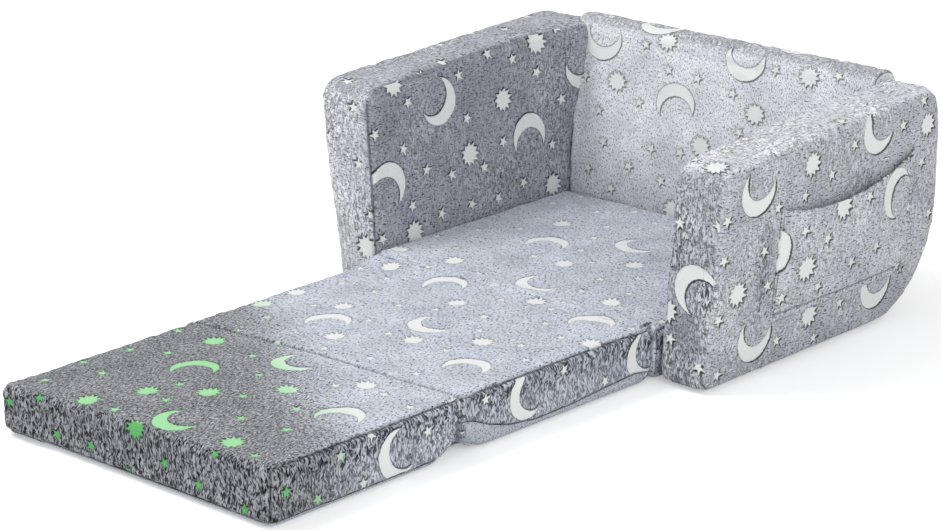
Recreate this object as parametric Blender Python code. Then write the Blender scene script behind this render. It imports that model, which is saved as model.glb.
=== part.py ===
# Kids flip open sofa, unfolded into a lounger.
# Metres, +Z up. The front of the sofa faces -Y and its right arm, seen from the front, is at +X.
# Every foam block has its own plush cover, which is open below and closed by a base panel.
# The seat pad stays between the arms. The middle pad folds back over it on a fabric hinge
# along their top edges, and the front pad folds under the middle pad on a fabric hinge
# along their bottom edges, so that it ends on top, right side up, as the seat.

import math

import bpy
import bmesh
from mathutils import Matrix, Vector

# Seat and pads
seat_gap = 0.420
seat_depth = 0.350
pad_thickness = 0.065
pad_crown = 0.003
pad_draw_in = 0.0025
pad_corner_radius = 0.014
pad_edge_radius = 0.010
pad_side_clearance = 0.0015
fold_back_clearance = 0.042
front_pad_setback = 0.038
pad_taper = 0.008
fold_lift = 0.0003
fold_notch_height = 0.019
fold_notch_run = 0.042

# Arms
arm_thickness = 0.068
arm_front_height = 0.258
arm_rear_height = 0.279
arm_top_arch = 0.003
arm_splay = 0.020
arm_rear_lean = 0.020
arm_knee_height = 0.130
arm_edge_radius = 0.013
arm_bulge = 0.004
arm_flare = 0.005
arm_front_foot_radius = 0.020
arm_front_top_radius = 0.026
arm_top_radius = 0.300
arm_rear_top_radius = 0.028
heel_radius = 0.106
knee_radius = 0.120

# Backrest
back_base_thickness = 0.082
back_height = 0.281
back_lean = 0.030
back_rear_lean = 0.010
back_edge_radius = 0.005
back_top_radius = 0.018
back_bend_radius = 0.030
back_foot_radius = 0.012
back_heel_radius = 0.050
back_crown = 0.005

# Fabrics and the gaps between sewn pieces
cover_wall = 0.0025
panel_wall = 0.0015
foam_gap = 0.0007
seam_gap = 0.0004
touch_gap = 0.0004
seat_seam_height = 0.010
middle_seam_height = 0.014
front_seam_height = 0.006
arm_seam_height = 0.009
back_seam_height = 0.010

# Fabric hinges
rear_hinge_width = 0.026
front_hinge_width = 0.052
hinge_strip_thickness = 0.001
hinge_strip_inset = 0.012
strip_gap = 0.0003

# Side pocket on the right arm
pocket_front_inset = 0.109
pocket_rear_inset = 0.071
pocket_bottom_height = 0.062
pocket_front_mouth_height = 0.193
pocket_rear_mouth_height = 0.214
pocket_mouth_sag = 0.022
pocket_gape = 0.012
pocket_wall = 0.002
pocket_gap = 0.0003

# Zips
zip_tape_width = 0.016
zip_tape_thickness = 0.0008
zip_tape_gap = 0.0003
zip_chain_width = 0.0045
zip_chain_height = 0.0010
zip_crest_share = 0.75
zip_end_stop = 0.006
pad_zip_height = 0.031
pad_zip_margin = 0.045
back_zip_height = 0.118
back_zip_margin = 0.060
slider_length = 0.0100
slider_width = 0.0085
slider_plate = 0.0008
slider_gap = 0.0003
bridge_length = 0.0056
bridge_width = 0.0020
bridge_bar = 0.0010
pull_length = 0.0160
pull_width = 0.0054
pull_tip_width = 0.0066
pull_thickness = 0.0009
pull_gap = 0.0003
pull_shoulder_share = 0.85

# Curves and facets
round_segments = 3
back_round_segments = 2
outline_segments = 5
corner_stretch = 1.4
crown_power = 4
draw_power = 8
bulge_power = 3
notch_power = 1.6
sag_power = 2
gape_power = 2.5
belly_share = 0.8
belly_power = 0.6
pocket_columns = 12
pocket_rows = 6
pad_width_cut_shares = (-0.8, -0.4, 0.4, 0.8)
pad_length_cut_shares = (-0.75, 0.0, 0.75)
notch_cut_shares = (0.35, 0.65, 1.0)
arm_length_cut_shares = (0.2, 0.5, 0.8)
arm_height_cut_shares = (0.25, 0.6)
back_width_cut_shares = (-0.75, -0.4, 0.4, 0.75)
back_height_cut_shares = (0.45, 0.6, 0.8)
front_hinge_path_shares = (-1.0, -0.7, -0.45, 0.0, 0.45, 0.7, 1.0)

# Sizes that follow
half_gap = seat_gap / 2
arm_depth = seat_depth + back_base_thickness
middle_length = seat_depth - fold_back_clearance
front_length = middle_length - front_pad_setback
pad_half_width = half_gap - pad_side_clearance
seat_half_width = half_gap - touch_gap
hinge_gap = touch_gap
rear_axis_height = pad_thickness + pad_crown + fold_lift
middle_rear_y = -hinge_gap
middle_front_y = middle_rear_y - middle_length
front_axis_y = middle_front_y - hinge_gap
front_rear_y = front_axis_y - hinge_gap
front_front_y = front_rear_y - front_length

COLOURS = {
    "plush": (0.47, 0.49, 0.54),
    "mattress_plush": (0.38, 0.42, 0.48),
    "base_fabric": (0.33, 0.34, 0.38),
    "foam": (0.86, 0.80, 0.60),
    "zip_tape": (0.26, 0.27, 0.30),
    "zip_metal": (0.55, 0.55, 0.56),
}
METALLIC = {"zip_metal": 1.0}
ROUGHNESS = {"foam": 0.9, "zip_metal": 0.35, "zip_tape": 0.8}


def clear_scene():
    for obj in list(bpy.data.objects):
        bpy.data.objects.remove(obj, do_unlink=True)


def material(name):
    found = bpy.data.materials.get(name)
    if found:
        return found
    made = bpy.data.materials.new(name)
    made.use_nodes = True
    shader = made.node_tree.nodes["Principled BSDF"]
    shader.inputs["Base Color"].default_value = (*COLOURS[name], 1.0)
    shader.inputs["Roughness"].default_value = ROUGHNESS.get(name, 0.95)
    shader.inputs["Metallic"].default_value = METALLIC.get(name, 0.0)
    return made


def empty(name, place, parent=None):
    holder = bpy.data.objects.new(name, None)
    bpy.context.scene.collection.objects.link(holder)
    holder.location = place
    holder.parent = parent
    return holder


def object_from(bm, name, slot, parent, origin):
    """Make a named object of the mesh, whose points are in the sofa's frame, on a parent at origin."""
    bmesh.ops.translate(bm, verts=bm.verts, vec=-Vector(origin))
    mesh = bpy.data.meshes.new(name)
    bm.to_mesh(mesh)
    bm.free()
    mesh.shade_smooth()
    mesh.set_sharp_from_angle(angle=math.radians(35))
    obj = bpy.data.objects.new(name, mesh)
    bpy.context.scene.collection.objects.link(obj)
    obj.data.materials.append(material(slot))
    obj.parent = parent
    return obj


def facet(bm):
    """Split every face into triangles, so that a skin and what lies inside it split alike."""
    bmesh.ops.triangulate(bm, faces=bm.faces, quad_method="BEAUTY", ngon_method="BEAUTY")
    return bm


def inset(bm, distance):
    """Move a closed skin inwards by an even distance."""
    bm.normal_update()
    steps = [v.normal * distance * min(v.calc_shell_factor(), corner_stretch) for v in bm.verts]
    for vert, step in zip(bm.verts, steps):
        vert.co -= step
    return bm


def cut(bm, axis, places):
    """Cut edge loops across the mesh at places along one axis."""
    normal = Vector([1.0 if i == axis else 0.0 for i in range(3)])
    for place in places:
        geometry = list(bm.verts) + list(bm.edges) + list(bm.faces)
        bmesh.ops.bisect_plane(bm, geom=geometry, plane_co=normal * place, plane_no=normal)


def keep_above(bm, height):
    geometry = list(bm.verts) + list(bm.edges) + list(bm.faces)
    bmesh.ops.bisect_plane(
        bm, geom=geometry, plane_co=(0, 0, height), plane_no=(0, 0, 1), clear_inner=True
    )


def keep_below(bm, height):
    geometry = list(bm.verts) + list(bm.edges) + list(bm.faces)
    bmesh.ops.bisect_plane(
        bm, geom=geometry, plane_co=(0, 0, height), plane_no=(0, 0, 1), clear_outer=True
    )


def bevel(bm, edges, radius, segments=round_segments):
    bmesh.ops.bevel(
        bm, geom=edges, offset=radius, offset_type="OFFSET", segments=segments,
        profile=0.5, affect="EDGES",
    )


def edges_at(bm, axis, place):
    near = seam_gap / 4
    return [e for e in bm.edges if all(abs(v.co[axis] - place) < near for v in e.verts)]


def upright_edges(bm):
    return [e for e in bm.edges if abs((e.verts[0].co - e.verts[1].co).normalized().z) > 0.99]


def facing(bm, axis, side):
    bm.normal_update()
    return [face for face in bm.faces if face.normal[axis] * side > 0.9]


def open_hole(bm, hole):
    """Take out the faces of a slot, given as the outward axis and side and the two spans."""
    for axis, ends in hole["spans"].items():
        normal = Vector([1.0 if i == axis else 0.0 for i in range(3)])
        for place in ends:
            faces = facing(bm, hole["axis"], hole["side"])
            edges = {edge for face in faces for edge in face.edges}
            verts = {vert for face in faces for vert in face.verts}
            geometry = faces + list(edges) + list(verts)
            bmesh.ops.bisect_plane(bm, geom=geometry, plane_co=normal * place, plane_no=normal)
    gone = []
    for face in facing(bm, hole["axis"], hole["side"]):
        centre = face.calc_center_median()
        if all(low < centre[axis] < high for axis, (low, high) in hole["spans"].items()):
            gone.append(face)
    bmesh.ops.delete(bm, geom=gone, context="FACES")


def shell(blank, wall, seam, above, hole=None):
    """The part of a blank above or below its seam, as a skin with a wall and flat rims."""
    outer = blank()
    inner = inset(blank(), wall)
    for bm in (outer, inner):
        if hole:
            open_hole(bm, hole)
        if above:
            keep_above(bm, seam + seam_gap / 2)
        else:
            keep_below(bm, seam - seam_gap / 2)
    bmesh.ops.reverse_faces(inner, faces=inner.faces)
    spare = bpy.data.meshes.new("inner_skin")
    inner.to_mesh(spare)
    inner.free()
    outer.from_mesh(spare)
    bpy.data.meshes.remove(spare)
    rims = [e for e in outer.edges if e.is_boundary]
    seam_place = seam + (seam_gap / 2 if above else -seam_gap / 2)
    at_seam = [e for e in rims if all(abs(v.co.z - seam_place) < seam_gap / 8 for v in e.verts)]
    bmesh.ops.bridge_loops(outer, edges=at_seam)
    if hole:
        bmesh.ops.bridge_loops(outer, edges=[e for e in rims if e not in set(at_seam)])
    bmesh.ops.recalc_face_normals(outer, faces=outer.faces)
    return facet(outer)


def rounded_outline(corners):
    """Points round a closed outline of (y, z, radius) corners, each rounded by an arc."""
    points = []
    count = len(corners)
    for index, (y, z, radius) in enumerate(corners):
        here = Vector((y, z))
        before = Vector(corners[index - 1][:2]) - here
        after = Vector(corners[(index + 1) % count][:2]) - here
        half_angle = before.angle(after) / 2
        inwards = (before.normalized() + after.normalized()).normalized()
        centre = here + inwards * (radius / math.sin(half_angle))
        reach = radius / math.tan(half_angle)
        start = here + before.normalized() * reach - centre
        end = here + after.normalized() * reach - centre
        sweep = math.pi - 2 * half_angle
        steps = max(2, round(outline_segments * sweep / (math.pi / 2)))
        turn = math.copysign(sweep, start.cross(end))
        for step in range(steps + 1):
            angle = turn * step / steps
            turned = Matrix.Rotation(angle, 2) @ start
            points.append(centre + turned)
    return points


def prism(outline, low_x, high_x):
    """A solid with an outline in Y and Z between two X places."""
    bm = bmesh.new()
    ring = [bm.verts.new((low_x, p.x, p.y)) for p in outline]
    face = bm.faces.new(ring)
    made = bmesh.ops.extrude_face_region(bm, geom=[face])["geom"]
    moved = [v for v in made if isinstance(v, bmesh.types.BMVert)]
    bmesh.ops.translate(bm, verts=moved, vec=(high_x - low_x, 0, 0))
    bmesh.ops.recalc_face_normals(bm, faces=bm.faces)
    return bm


# The splay and crowns, which the covers, foams, panels, pocket and zips share


def splayed(x, z):
    """Where a point between the arms goes as the arms lean outwards towards their tops."""
    return x * (1 + arm_splay * z / (arm_rear_height * half_gap))


def arm_lean(z):
    return arm_splay * z / arm_rear_height


def hump(share, power):
    """1 in the middle and 0 at both ends, for a share from -1 to 1."""
    return max(0.0, 1 - abs(share) ** power)


def arm_outer_x(y, z):
    along = 2 * y / arm_depth - 1
    up = 2 * z / arm_rear_height - 1
    swell = arm_bulge * hump(along, bulge_power) * hump(up, bulge_power)
    flare = arm_flare * z / arm_rear_height
    return half_gap + arm_thickness + arm_lean(z) + flare + swell


def taper(y):
    """How wide a pad is in front of the arms, as a share of its width at the arms."""
    forward = max(0.0, -y) / -front_front_y
    return 1 - forward * pad_taper / pad_half_width


class Pad:
    """One foam pad of the mattress: its space, and how its corners, crown and sides are drawn."""

    def __init__(self, front, rear, half_width, seam, lift=0.0, notches=(), follows_arms=False):
        self.front = front
        self.rear = rear
        self.half_width = half_width
        self.seam = seam
        self.lift = lift
        self.notches = notches
        self.follows_arms = follows_arms

    def notch(self, y):
        """How far the bottom is drawn up at a folding end."""
        rise = 0.0
        for end in self.notches:
            away = abs(y - (self.front if end == "front" else self.rear))
            rise += fold_notch_height * max(0.0, 1 - away / fold_notch_run) ** notch_power
        return rise

    def shape(self, point):
        x, y, z = point
        across = x / self.half_width
        along = (2 * y - self.front - self.rear) / (self.rear - self.front)
        up = 2 * z / pad_thickness - 1
        crown = pad_crown * hump(across, crown_power) * hump(along, crown_power) * max(0.0, up)
        pull = pad_draw_in * hump(up, 2)
        x_pull = pull * hump(along, draw_power) * abs(across) ** draw_power
        y_pull = pull * hump(across, draw_power) * abs(along) ** draw_power
        if self.follows_arms:
            new_x = splayed(x, z)
        else:
            new_x = (x - math.copysign(x_pull, x)) * taper(y)
        new_y = y - math.copysign(y_pull, along)
        rise = self.notch(y) * (1 - z / pad_thickness)
        return Vector((new_x, new_y, z + crown + rise + self.lift))

    def blank(self):
        """A box with rounded corners and edges, cut into rows for its crown."""
        bm = bmesh.new()
        centre_y = (self.front + self.rear) / 2
        size = (2 * self.half_width, self.rear - self.front, pad_thickness)
        bmesh.ops.create_cube(bm, size=1.0)
        bmesh.ops.scale(bm, vec=size, verts=bm.verts)
        bmesh.ops.translate(bm, vec=(0, centre_y, pad_thickness / 2), verts=bm.verts)
        bevel(bm, upright_edges(bm), pad_corner_radius)
        bevel(bm, edges_at(bm, 2, pad_thickness) + edges_at(bm, 2, 0.0), pad_edge_radius)
        cut(bm, 0, [share * self.half_width for share in pad_width_cut_shares])
        cut(bm, 1, [centre_y + share * size[1] / 2 for share in pad_length_cut_shares])
        cut(bm, 2, [pad_thickness / 2])
        for end in self.notches:
            place = self.front if end == "front" else self.rear
            step = math.copysign(fold_notch_run, centre_y - place)
            cut(bm, 1, [place + step * share for share in notch_cut_shares])
        return facet(bm)


def shape_pad(bm, pad):
    for vert in bm.verts:
        vert.co = pad.shape(vert.co)
    return bm


def pad_foam(name, pad, parent, origin):
    bm = shape_pad(inset(pad.blank(), cover_wall + foam_gap), pad)
    object_from(bm, name, "foam", parent, origin)


def pad_panel(name, pad, parent, origin):
    """The base fabric under a pad, turned up at its sides to the seam."""
    bm = shape_pad(shell(pad.blank, panel_wall, pad.seam, above=False), pad)
    object_from(bm, name, "base_fabric", parent, origin)


def pad_cover(name, pad, parent, origin, hole=None):
    """The plush top and sides of a pad, open below, with a slot for its zip where it has one."""
    bm = shape_pad(shell(pad.blank, cover_wall, pad.seam, above=True, hole=hole), pad)
    object_from(bm, name, "mattress_plush", parent, origin)


# Arms


def arm_blank():
    """The right arm as a slab with a rising top, a round heel and soft edges."""
    middle_height = (arm_front_height + arm_rear_height) / 2 + arm_top_arch
    corners = [
        (0.0, 0.0, arm_front_foot_radius),
        (0.0, arm_front_height, arm_front_top_radius),
        (arm_depth / 2, middle_height, arm_top_radius),
        (arm_depth - arm_rear_lean, arm_rear_height, arm_rear_top_radius),
        (arm_depth, arm_knee_height, knee_radius),
        (arm_depth, 0.0, heel_radius),
    ]
    bm = prism(rounded_outline(corners), half_gap, half_gap + arm_thickness)
    rims = edges_at(bm, 0, half_gap) + edges_at(bm, 0, half_gap + arm_thickness)
    bevel(bm, rims, arm_edge_radius)
    cut(bm, 1, [arm_depth * share for share in arm_length_cut_shares])
    cut(bm, 2, [arm_rear_height * share for share in arm_height_cut_shares])
    return facet(bm)


def shape_arm(bm, side):
    for vert in bm.verts:
        x, y, z = vert.co
        outwards = (x - half_gap) / arm_thickness
        spread = arm_outer_x(y, z) - half_gap - arm_thickness - arm_lean(z)
        vert.co.x = side * (x + arm_lean(z) + spread * max(0.0, outwards))
    if side < 0:
        bmesh.ops.reverse_faces(bm, faces=bm.faces)
    return bm


def build_arm(side, word, root):
    foam = shape_arm(inset(arm_blank(), cover_wall + foam_gap), side)
    object_from(foam, f"arm_foam_{word}", "foam", root, (0, 0, 0))
    cover = shape_arm(shell(arm_blank, cover_wall, arm_seam_height, above=True), side)
    object_from(cover, f"arm_cover_{word}", "plush", root, (0, 0, 0))
    panel = shape_arm(shell(arm_blank, panel_wall, arm_seam_height, above=False), side)
    object_from(panel, f"arm_base_panel_{word}", "base_fabric", root, (0, 0, 0))


# Backrest


def back_blank():
    """The backrest between the arms: upright behind the seat pad, then leaning back."""
    corners = [
        (seat_depth, 0.0, back_foot_radius),
        (seat_depth, pad_thickness, back_bend_radius),
        (seat_depth + back_lean, back_height, back_top_radius),
        (arm_depth - back_rear_lean, back_height, back_top_radius),
        (arm_depth, arm_knee_height, knee_radius),
        (arm_depth, 0.0, back_heel_radius),
    ]
    half = half_gap - touch_gap
    bm = prism(rounded_outline(corners), -half, half)
    bevel(bm, edges_at(bm, 0, -half) + edges_at(bm, 0, half), back_edge_radius, back_round_segments)
    cut(bm, 0, [half * share for share in back_width_cut_shares])
    cut(bm, 2, [back_height * share for share in back_height_cut_shares])
    return facet(bm)


def back_swell(x, z):
    """How far the front of the backrest bulges forwards above the seat pad."""
    share = (z - pad_thickness) / (back_height - pad_thickness)
    if share <= 0 or share >= 1:
        return 0.0
    return back_crown * hump(x / half_gap, crown_power) * math.sin(math.pi * share)


def shape_back(bm):
    for vert in bm.verts:
        x, y, z = vert.co
        if y < arm_depth - back_base_thickness / 2:
            vert.co.y = y - back_swell(x, z)
        vert.co.x = splayed(x, z)
    return bm


def back_zip_hole():
    half_slot = half_gap - back_zip_margin + zip_tape_gap
    half_tape = zip_tape_width / 2 + zip_tape_gap
    spans = {0: (-half_slot, half_slot), 2: (back_zip_height - half_tape, back_zip_height + half_tape)}
    return {"axis": 1, "side": 1, "spans": spans}


def build_back(root):
    foam = shape_back(inset(back_blank(), cover_wall + foam_gap))
    object_from(foam, "back_foam", "foam", root, (0, 0, 0))
    hole = back_zip_hole()
    cover = shape_back(shell(back_blank, cover_wall, back_seam_height, above=True, hole=hole))
    object_from(cover, "back_cover", "plush", root, (0, 0, 0))
    panel = shape_back(shell(back_blank, panel_wall, back_seam_height, above=False))
    object_from(panel, "back_base_panel", "base_fabric", root, (0, 0, 0))


# Fabric hinges


def ribbon(path, half_width, thickness):
    """A strip of fabric along a path of (y, z) points, as wide as the pads."""
    bm = bmesh.new()
    left = [bm.verts.new((-half_width, y, z)) for y, z in path]
    right = [bm.verts.new((half_width, y, z)) for y, z in path]
    for i in range(len(path) - 1):
        bm.faces.new((left[i], right[i], right[i + 1], left[i + 1]))
    made = bmesh.ops.extrude_face_region(bm, geom=list(bm.faces))["geom"]
    moved = [v for v in made if isinstance(v, bmesh.types.BMVert)]
    bmesh.ops.translate(bm, verts=moved, vec=(0, 0, thickness))
    bmesh.ops.recalc_face_normals(bm, faces=bm.faces)
    return bm


def build_rear_hinge(seat, middle, root):
    """The top fabric that joins the seat pad to the middle pad."""
    half = rear_hinge_width / 2
    tops = (seat.shape((0.0, half, pad_thickness)), middle.shape((0.0, -half, pad_thickness)))
    above = max(top.z for top in tops) + strip_gap
    path = [(-half, above), (0.0, above - strip_gap), (half, above)]
    bm = ribbon(path, pad_half_width - hinge_strip_inset, hinge_strip_thickness)
    object_from(bm, "rear_hinge_strip", "mattress_plush", root, (0, 0, 0))


def build_front_hinge(middle, parent, origin):
    """The web in the notch below, which joins the middle pad to the front pad."""
    half = front_hinge_width / 2
    path = []
    for share in front_hinge_path_shares:
        away = max(abs(share) * half, pad_edge_radius + hinge_gap)
        inside = middle.front + away - hinge_gap
        below = middle.shape((0.0, inside, 0.0)).z - strip_gap - hinge_strip_thickness
        path.append((front_axis_y + share * half, below - strip_gap))
    bm = ribbon(path, pad_half_width * taper(front_axis_y) - hinge_strip_inset, hinge_strip_thickness)
    object_from(bm, "front_hinge_strip", "base_fabric", parent, origin)


# Side pocket


def pocket_point(along, up):
    """A point of the pocket's inner side, for shares from the front seam and from the bottom."""
    y = pocket_front_inset + along * (arm_depth - pocket_front_inset - pocket_rear_inset)
    sag = pocket_mouth_sag * hump(2 * along - 1, sag_power)
    rise = pocket_rear_mouth_height - pocket_front_mouth_height
    mouth = pocket_front_mouth_height + rise * along ** 2 - sag
    z = pocket_bottom_height + up * (mouth - pocket_bottom_height)
    gape = pocket_gape * hump(2 * along - 1, gape_power) * min(1.0, up / belly_share) ** belly_power
    return Vector((arm_outer_x(y, z) + pocket_gap + gape, y, z))


def build_pocket(root):
    """A patch of plush sewn to the arm at its front, bottom and rear, gaping at its mouth."""
    bm = bmesh.new()
    grid = []
    for row in range(pocket_rows + 1):
        up = row / pocket_rows
        line = [pocket_point(column / pocket_columns, up) for column in range(pocket_columns + 1)]
        grid.append([bm.verts.new(point) for point in line])
    for row in range(pocket_rows):
        for column in range(pocket_columns):
            bm.faces.new((
                grid[row][column], grid[row][column + 1],
                grid[row + 1][column + 1], grid[row + 1][column],
            ))
    pocket = object_from(bm, "side_pocket", "plush", root, (0, 0, 0))
    solid = pocket.modifiers.new("wall", "SOLIDIFY")
    solid.thickness = pocket_wall
    solid.offset = 1.0
    solid.use_even_offset = True


# Zips, made along local X with +Y out of the cover and +Z up


def box(bm, low, high):
    size = Vector(high) - Vector(low)
    centre = (Vector(high) + Vector(low)) / 2
    made = bmesh.ops.create_cube(bm, size=1.0)["verts"]
    bmesh.ops.scale(bm, vec=size, verts=made)
    bmesh.ops.translate(bm, vec=centre, verts=made)


def zip_chain(length):
    """A woven tape with the closed coil standing along its middle."""
    coil = zip_chain_width / 2
    crest = coil * zip_crest_share
    edge = zip_tape_width / 2
    outline = [
        (-edge, -zip_tape_thickness), (edge, -zip_tape_thickness), (edge, 0.0), (coil, 0.0),
        (crest, zip_chain_height), (-crest, zip_chain_height), (-coil, 0.0), (-edge, 0.0),
    ]
    return prism([Vector((y, z)) for z, y in outline], -length / 2, length / 2)


def slider_body():
    """The channel that rides over the teeth, with the bridge that holds the pull."""
    inner = zip_chain_width / 2 + slider_gap
    under = slider_gap
    top = zip_chain_height + slider_gap + slider_plate
    outline = [
        (-slider_width / 2, under), (-inner, under), (-inner, top - slider_plate),
        (inner, top - slider_plate), (inner, under), (slider_width / 2, under),
        (slider_width / 2, top), (-slider_width / 2, top),
    ]
    return prism([Vector((y, z)) for z, y in outline], -slider_length / 2, slider_length / 2)


def pull_axis_height():
    return zip_chain_height + slider_gap + slider_plate + pull_gap + pull_thickness / 2


def bridge():
    """The staple on the slider, whose bar holds the end of the pull down."""
    foot = zip_chain_height + slider_gap + slider_plate / 2
    under = pull_axis_height() + pull_thickness / 2 + pull_gap
    top = under + bridge_bar
    far = bridge_length / 2
    near = far - bridge_bar
    outline = [
        (-far, foot), (-near, foot), (-near, under), (near, under),
        (near, foot), (far, foot), (far, top), (-far, top),
    ]
    bm = prism([Vector((y, x)) for x, y in outline], -bridge_width / 2, bridge_width / 2)
    for vert in bm.verts:
        z, y, x = vert.co
        vert.co = (x, y, z)
    bmesh.ops.recalc_face_normals(bm, faces=bm.faces)
    return bm


def hidden_tool(bm, name, parent):
    mesh = bpy.data.meshes.new(name)
    bm.to_mesh(mesh)
    bm.free()
    tool = bpy.data.objects.new(name, mesh)
    bpy.context.scene.collection.objects.link(tool)
    tool.parent = parent
    tool.hide_render = True
    tool.display_type = "WIRE"
    return tool


def join_with(obj, tool):
    union = obj.modifiers.new(tool.name, "BOOLEAN")
    union.operation = "UNION"
    union.solver = "EXACT"
    union.object = tool


def build_slider(name, parent):
    slider = object_from(slider_body(), name, "zip_metal", parent, (0, 0, 0))
    join_with(slider, hidden_tool(bridge(), f"{name}_bridge", parent))


def build_pull(name, parent):
    """A flat tab whose end lies under the bridge, on its parent's origin, with an eye round a post."""
    end = pull_thickness / 2
    shoulder = end - pull_length * pull_shoulder_share
    tip = end - pull_length
    outline = [
        (end, -pull_width / 2), (end, pull_width / 2), (shoulder, pull_tip_width / 2),
        (tip, pull_tip_width / 4), (tip, -pull_tip_width / 4), (shoulder, -pull_tip_width / 2),
    ]
    bm = bmesh.new()
    ring = [bm.verts.new((x, -pull_thickness / 2, z)) for x, z in outline]
    made = bmesh.ops.extrude_face_region(bm, geom=[bm.faces.new(ring)])["geom"]
    moved = [v for v in made if isinstance(v, bmesh.types.BMVert)]
    bmesh.ops.translate(bm, verts=moved, vec=(0, pull_thickness, 0))
    bmesh.ops.recalc_face_normals(bm, faces=bm.faces)
    pull = object_from(bm, name, "zip_metal", parent, (0, 0, 0))
    swing = math.hypot(bridge_length / 2, pull_thickness / 2 + pull_gap + bridge_bar)
    side = bridge_width / 2 + pull_gap
    eye = bmesh.new()
    box(eye, (-swing - pull_gap, -pull_thickness, -side), (-end, pull_thickness, side))
    difference = pull.modifiers.new("eye", "BOOLEAN")
    difference.operation = "DIFFERENCE"
    difference.solver = "EXACT"
    difference.object = hidden_tool(eye, f"{name}_eye", parent)


def build_zip(word, length, place, turn, parent):
    """A zip's tape, slider and pull on empties that stand at its middle and at its closed end."""
    seat = empty(f"{word}_zip_place", place, parent)
    seat.rotation_euler = (0, 0, turn)
    object_from(zip_chain(length), f"{word}_zip_tape", "zip_tape", seat, (0, 0, 0))
    start = length / 2 - zip_end_stop - slider_length / 2
    runner = empty(f"{word}_slider_travel", (start, 0, 0), seat)
    build_slider(f"{word}_zip_slider", runner)
    hook = empty(f"{word}_pull_hinge", (0, pull_axis_height(), 0), runner)
    build_pull(f"{word}_zip_pull", hook)


def pad_zip_frame(pad, parent_origin):
    """The middle of the zip on a pad's left side, its length and the turn of that side."""
    middle_y = (pad.front + pad.rear) / 2
    flat = pad.shape((-pad.half_width, middle_y, pad_zip_height))
    flat.y = middle_y
    length = pad.rear - pad.front - 2 * pad_zip_margin
    slope = pad.half_width * (taper(pad.front) - taper(pad.rear)) / (pad.rear - pad.front)
    turn = math.pi / 2 - math.atan(slope)
    return flat - Vector(parent_origin), length, turn


def pad_zip_hole(pad):
    reach = (pad.rear - pad.front) / 2 - pad_zip_margin + zip_tape_gap
    middle_y = (pad.front + pad.rear) / 2
    half = zip_tape_width / 2 + zip_tape_gap
    spans = {
        1: (middle_y - reach, middle_y + reach),
        2: (pad_zip_height - half, pad_zip_height + half),
    }
    return {"axis": 0, "side": -1, "spans": spans}


def build_back_zip(root):
    half_length = half_gap - back_zip_margin
    place = Vector((0.0, arm_depth, back_zip_height))
    build_zip("back", 2 * half_length, place, 0.0, root)


def centre_on_origin(root):
    """Put the middle of the unfolded sofa over the origin."""
    bpy.context.view_layer.update()
    depsgraph = bpy.context.evaluated_depsgraph_get()
    corners = []
    for obj in bpy.data.objects:
        if obj.type == "MESH" and not obj.hide_render:
            whole = obj.evaluated_get(depsgraph)
            corners += [whole.matrix_world @ Vector(corner) for corner in whole.bound_box]
    for axis in (0, 1):
        places = [corner[axis] for corner in corners]
        root.location[axis] = -(min(places) + max(places)) / 2


def main():
    clear_scene()
    root = empty("sofa", (0, 0, 0))
    rear_axis = Vector((0, 0, rear_axis_height))
    front_axis = Vector((0, front_axis_y, 0))
    middle_hinge = empty("middle_hinge", rear_axis, root)
    front_hinge = empty("front_hinge", front_axis - rear_axis, middle_hinge)

    seat = Pad(hinge_gap, seat_depth - touch_gap, seat_half_width, seat_seam_height, follows_arms=True)
    middle = Pad(middle_front_y, middle_rear_y, pad_half_width, middle_seam_height,
                 lift=fold_lift, notches=("front",))
    front = Pad(front_front_y, front_rear_y, pad_half_width, front_seam_height,
                lift=fold_lift, notches=("rear",))

    for side, word in ((-1, "left"), (1, "right")):
        build_arm(side, word, root)
    build_back(root)
    build_back_zip(root)
    build_pocket(root)

    pad_foam("seat_foam", seat, root, (0, 0, 0))
    pad_cover("seat_cover", seat, root, (0, 0, 0))
    pad_panel("seat_base_panel", seat, root, (0, 0, 0))
    build_rear_hinge(seat, middle, root)

    for word, pad, parent, origin in (
        ("middle", middle, middle_hinge, rear_axis),
        ("front", front, front_hinge, front_axis),
    ):
        pad_foam(f"{word}_foam", pad, parent, origin)
        pad_cover(f"{word}_cover", pad, parent, origin, pad_zip_hole(pad))
        pad_panel(f"{word}_base_panel", pad, parent, origin)
        place, length, turn = pad_zip_frame(pad, origin)
        build_zip(word, length, place, turn, parent)
    build_front_hinge(middle, middle_hinge, rear_axis)

    centre_on_origin(root)
    bpy.context.view_layer.update()


main()
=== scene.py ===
# %% [markdown]
# # A toddler's flip open sofa in frosted plush
# The CAD model gives every foam block, cover, zip and joint in metres. This lesson dresses it: each
# foam block gets a plush body that is drawn in at its seams, and the fabric gets its nap, its printed
# moons and stars and, at the foot end, the glow of the print in the dark.

# %% Load the frame
import math
import random

import bmesh
import bpy
import numpy as np
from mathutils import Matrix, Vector
from mathutils.bvhtree import BVHTree


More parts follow.
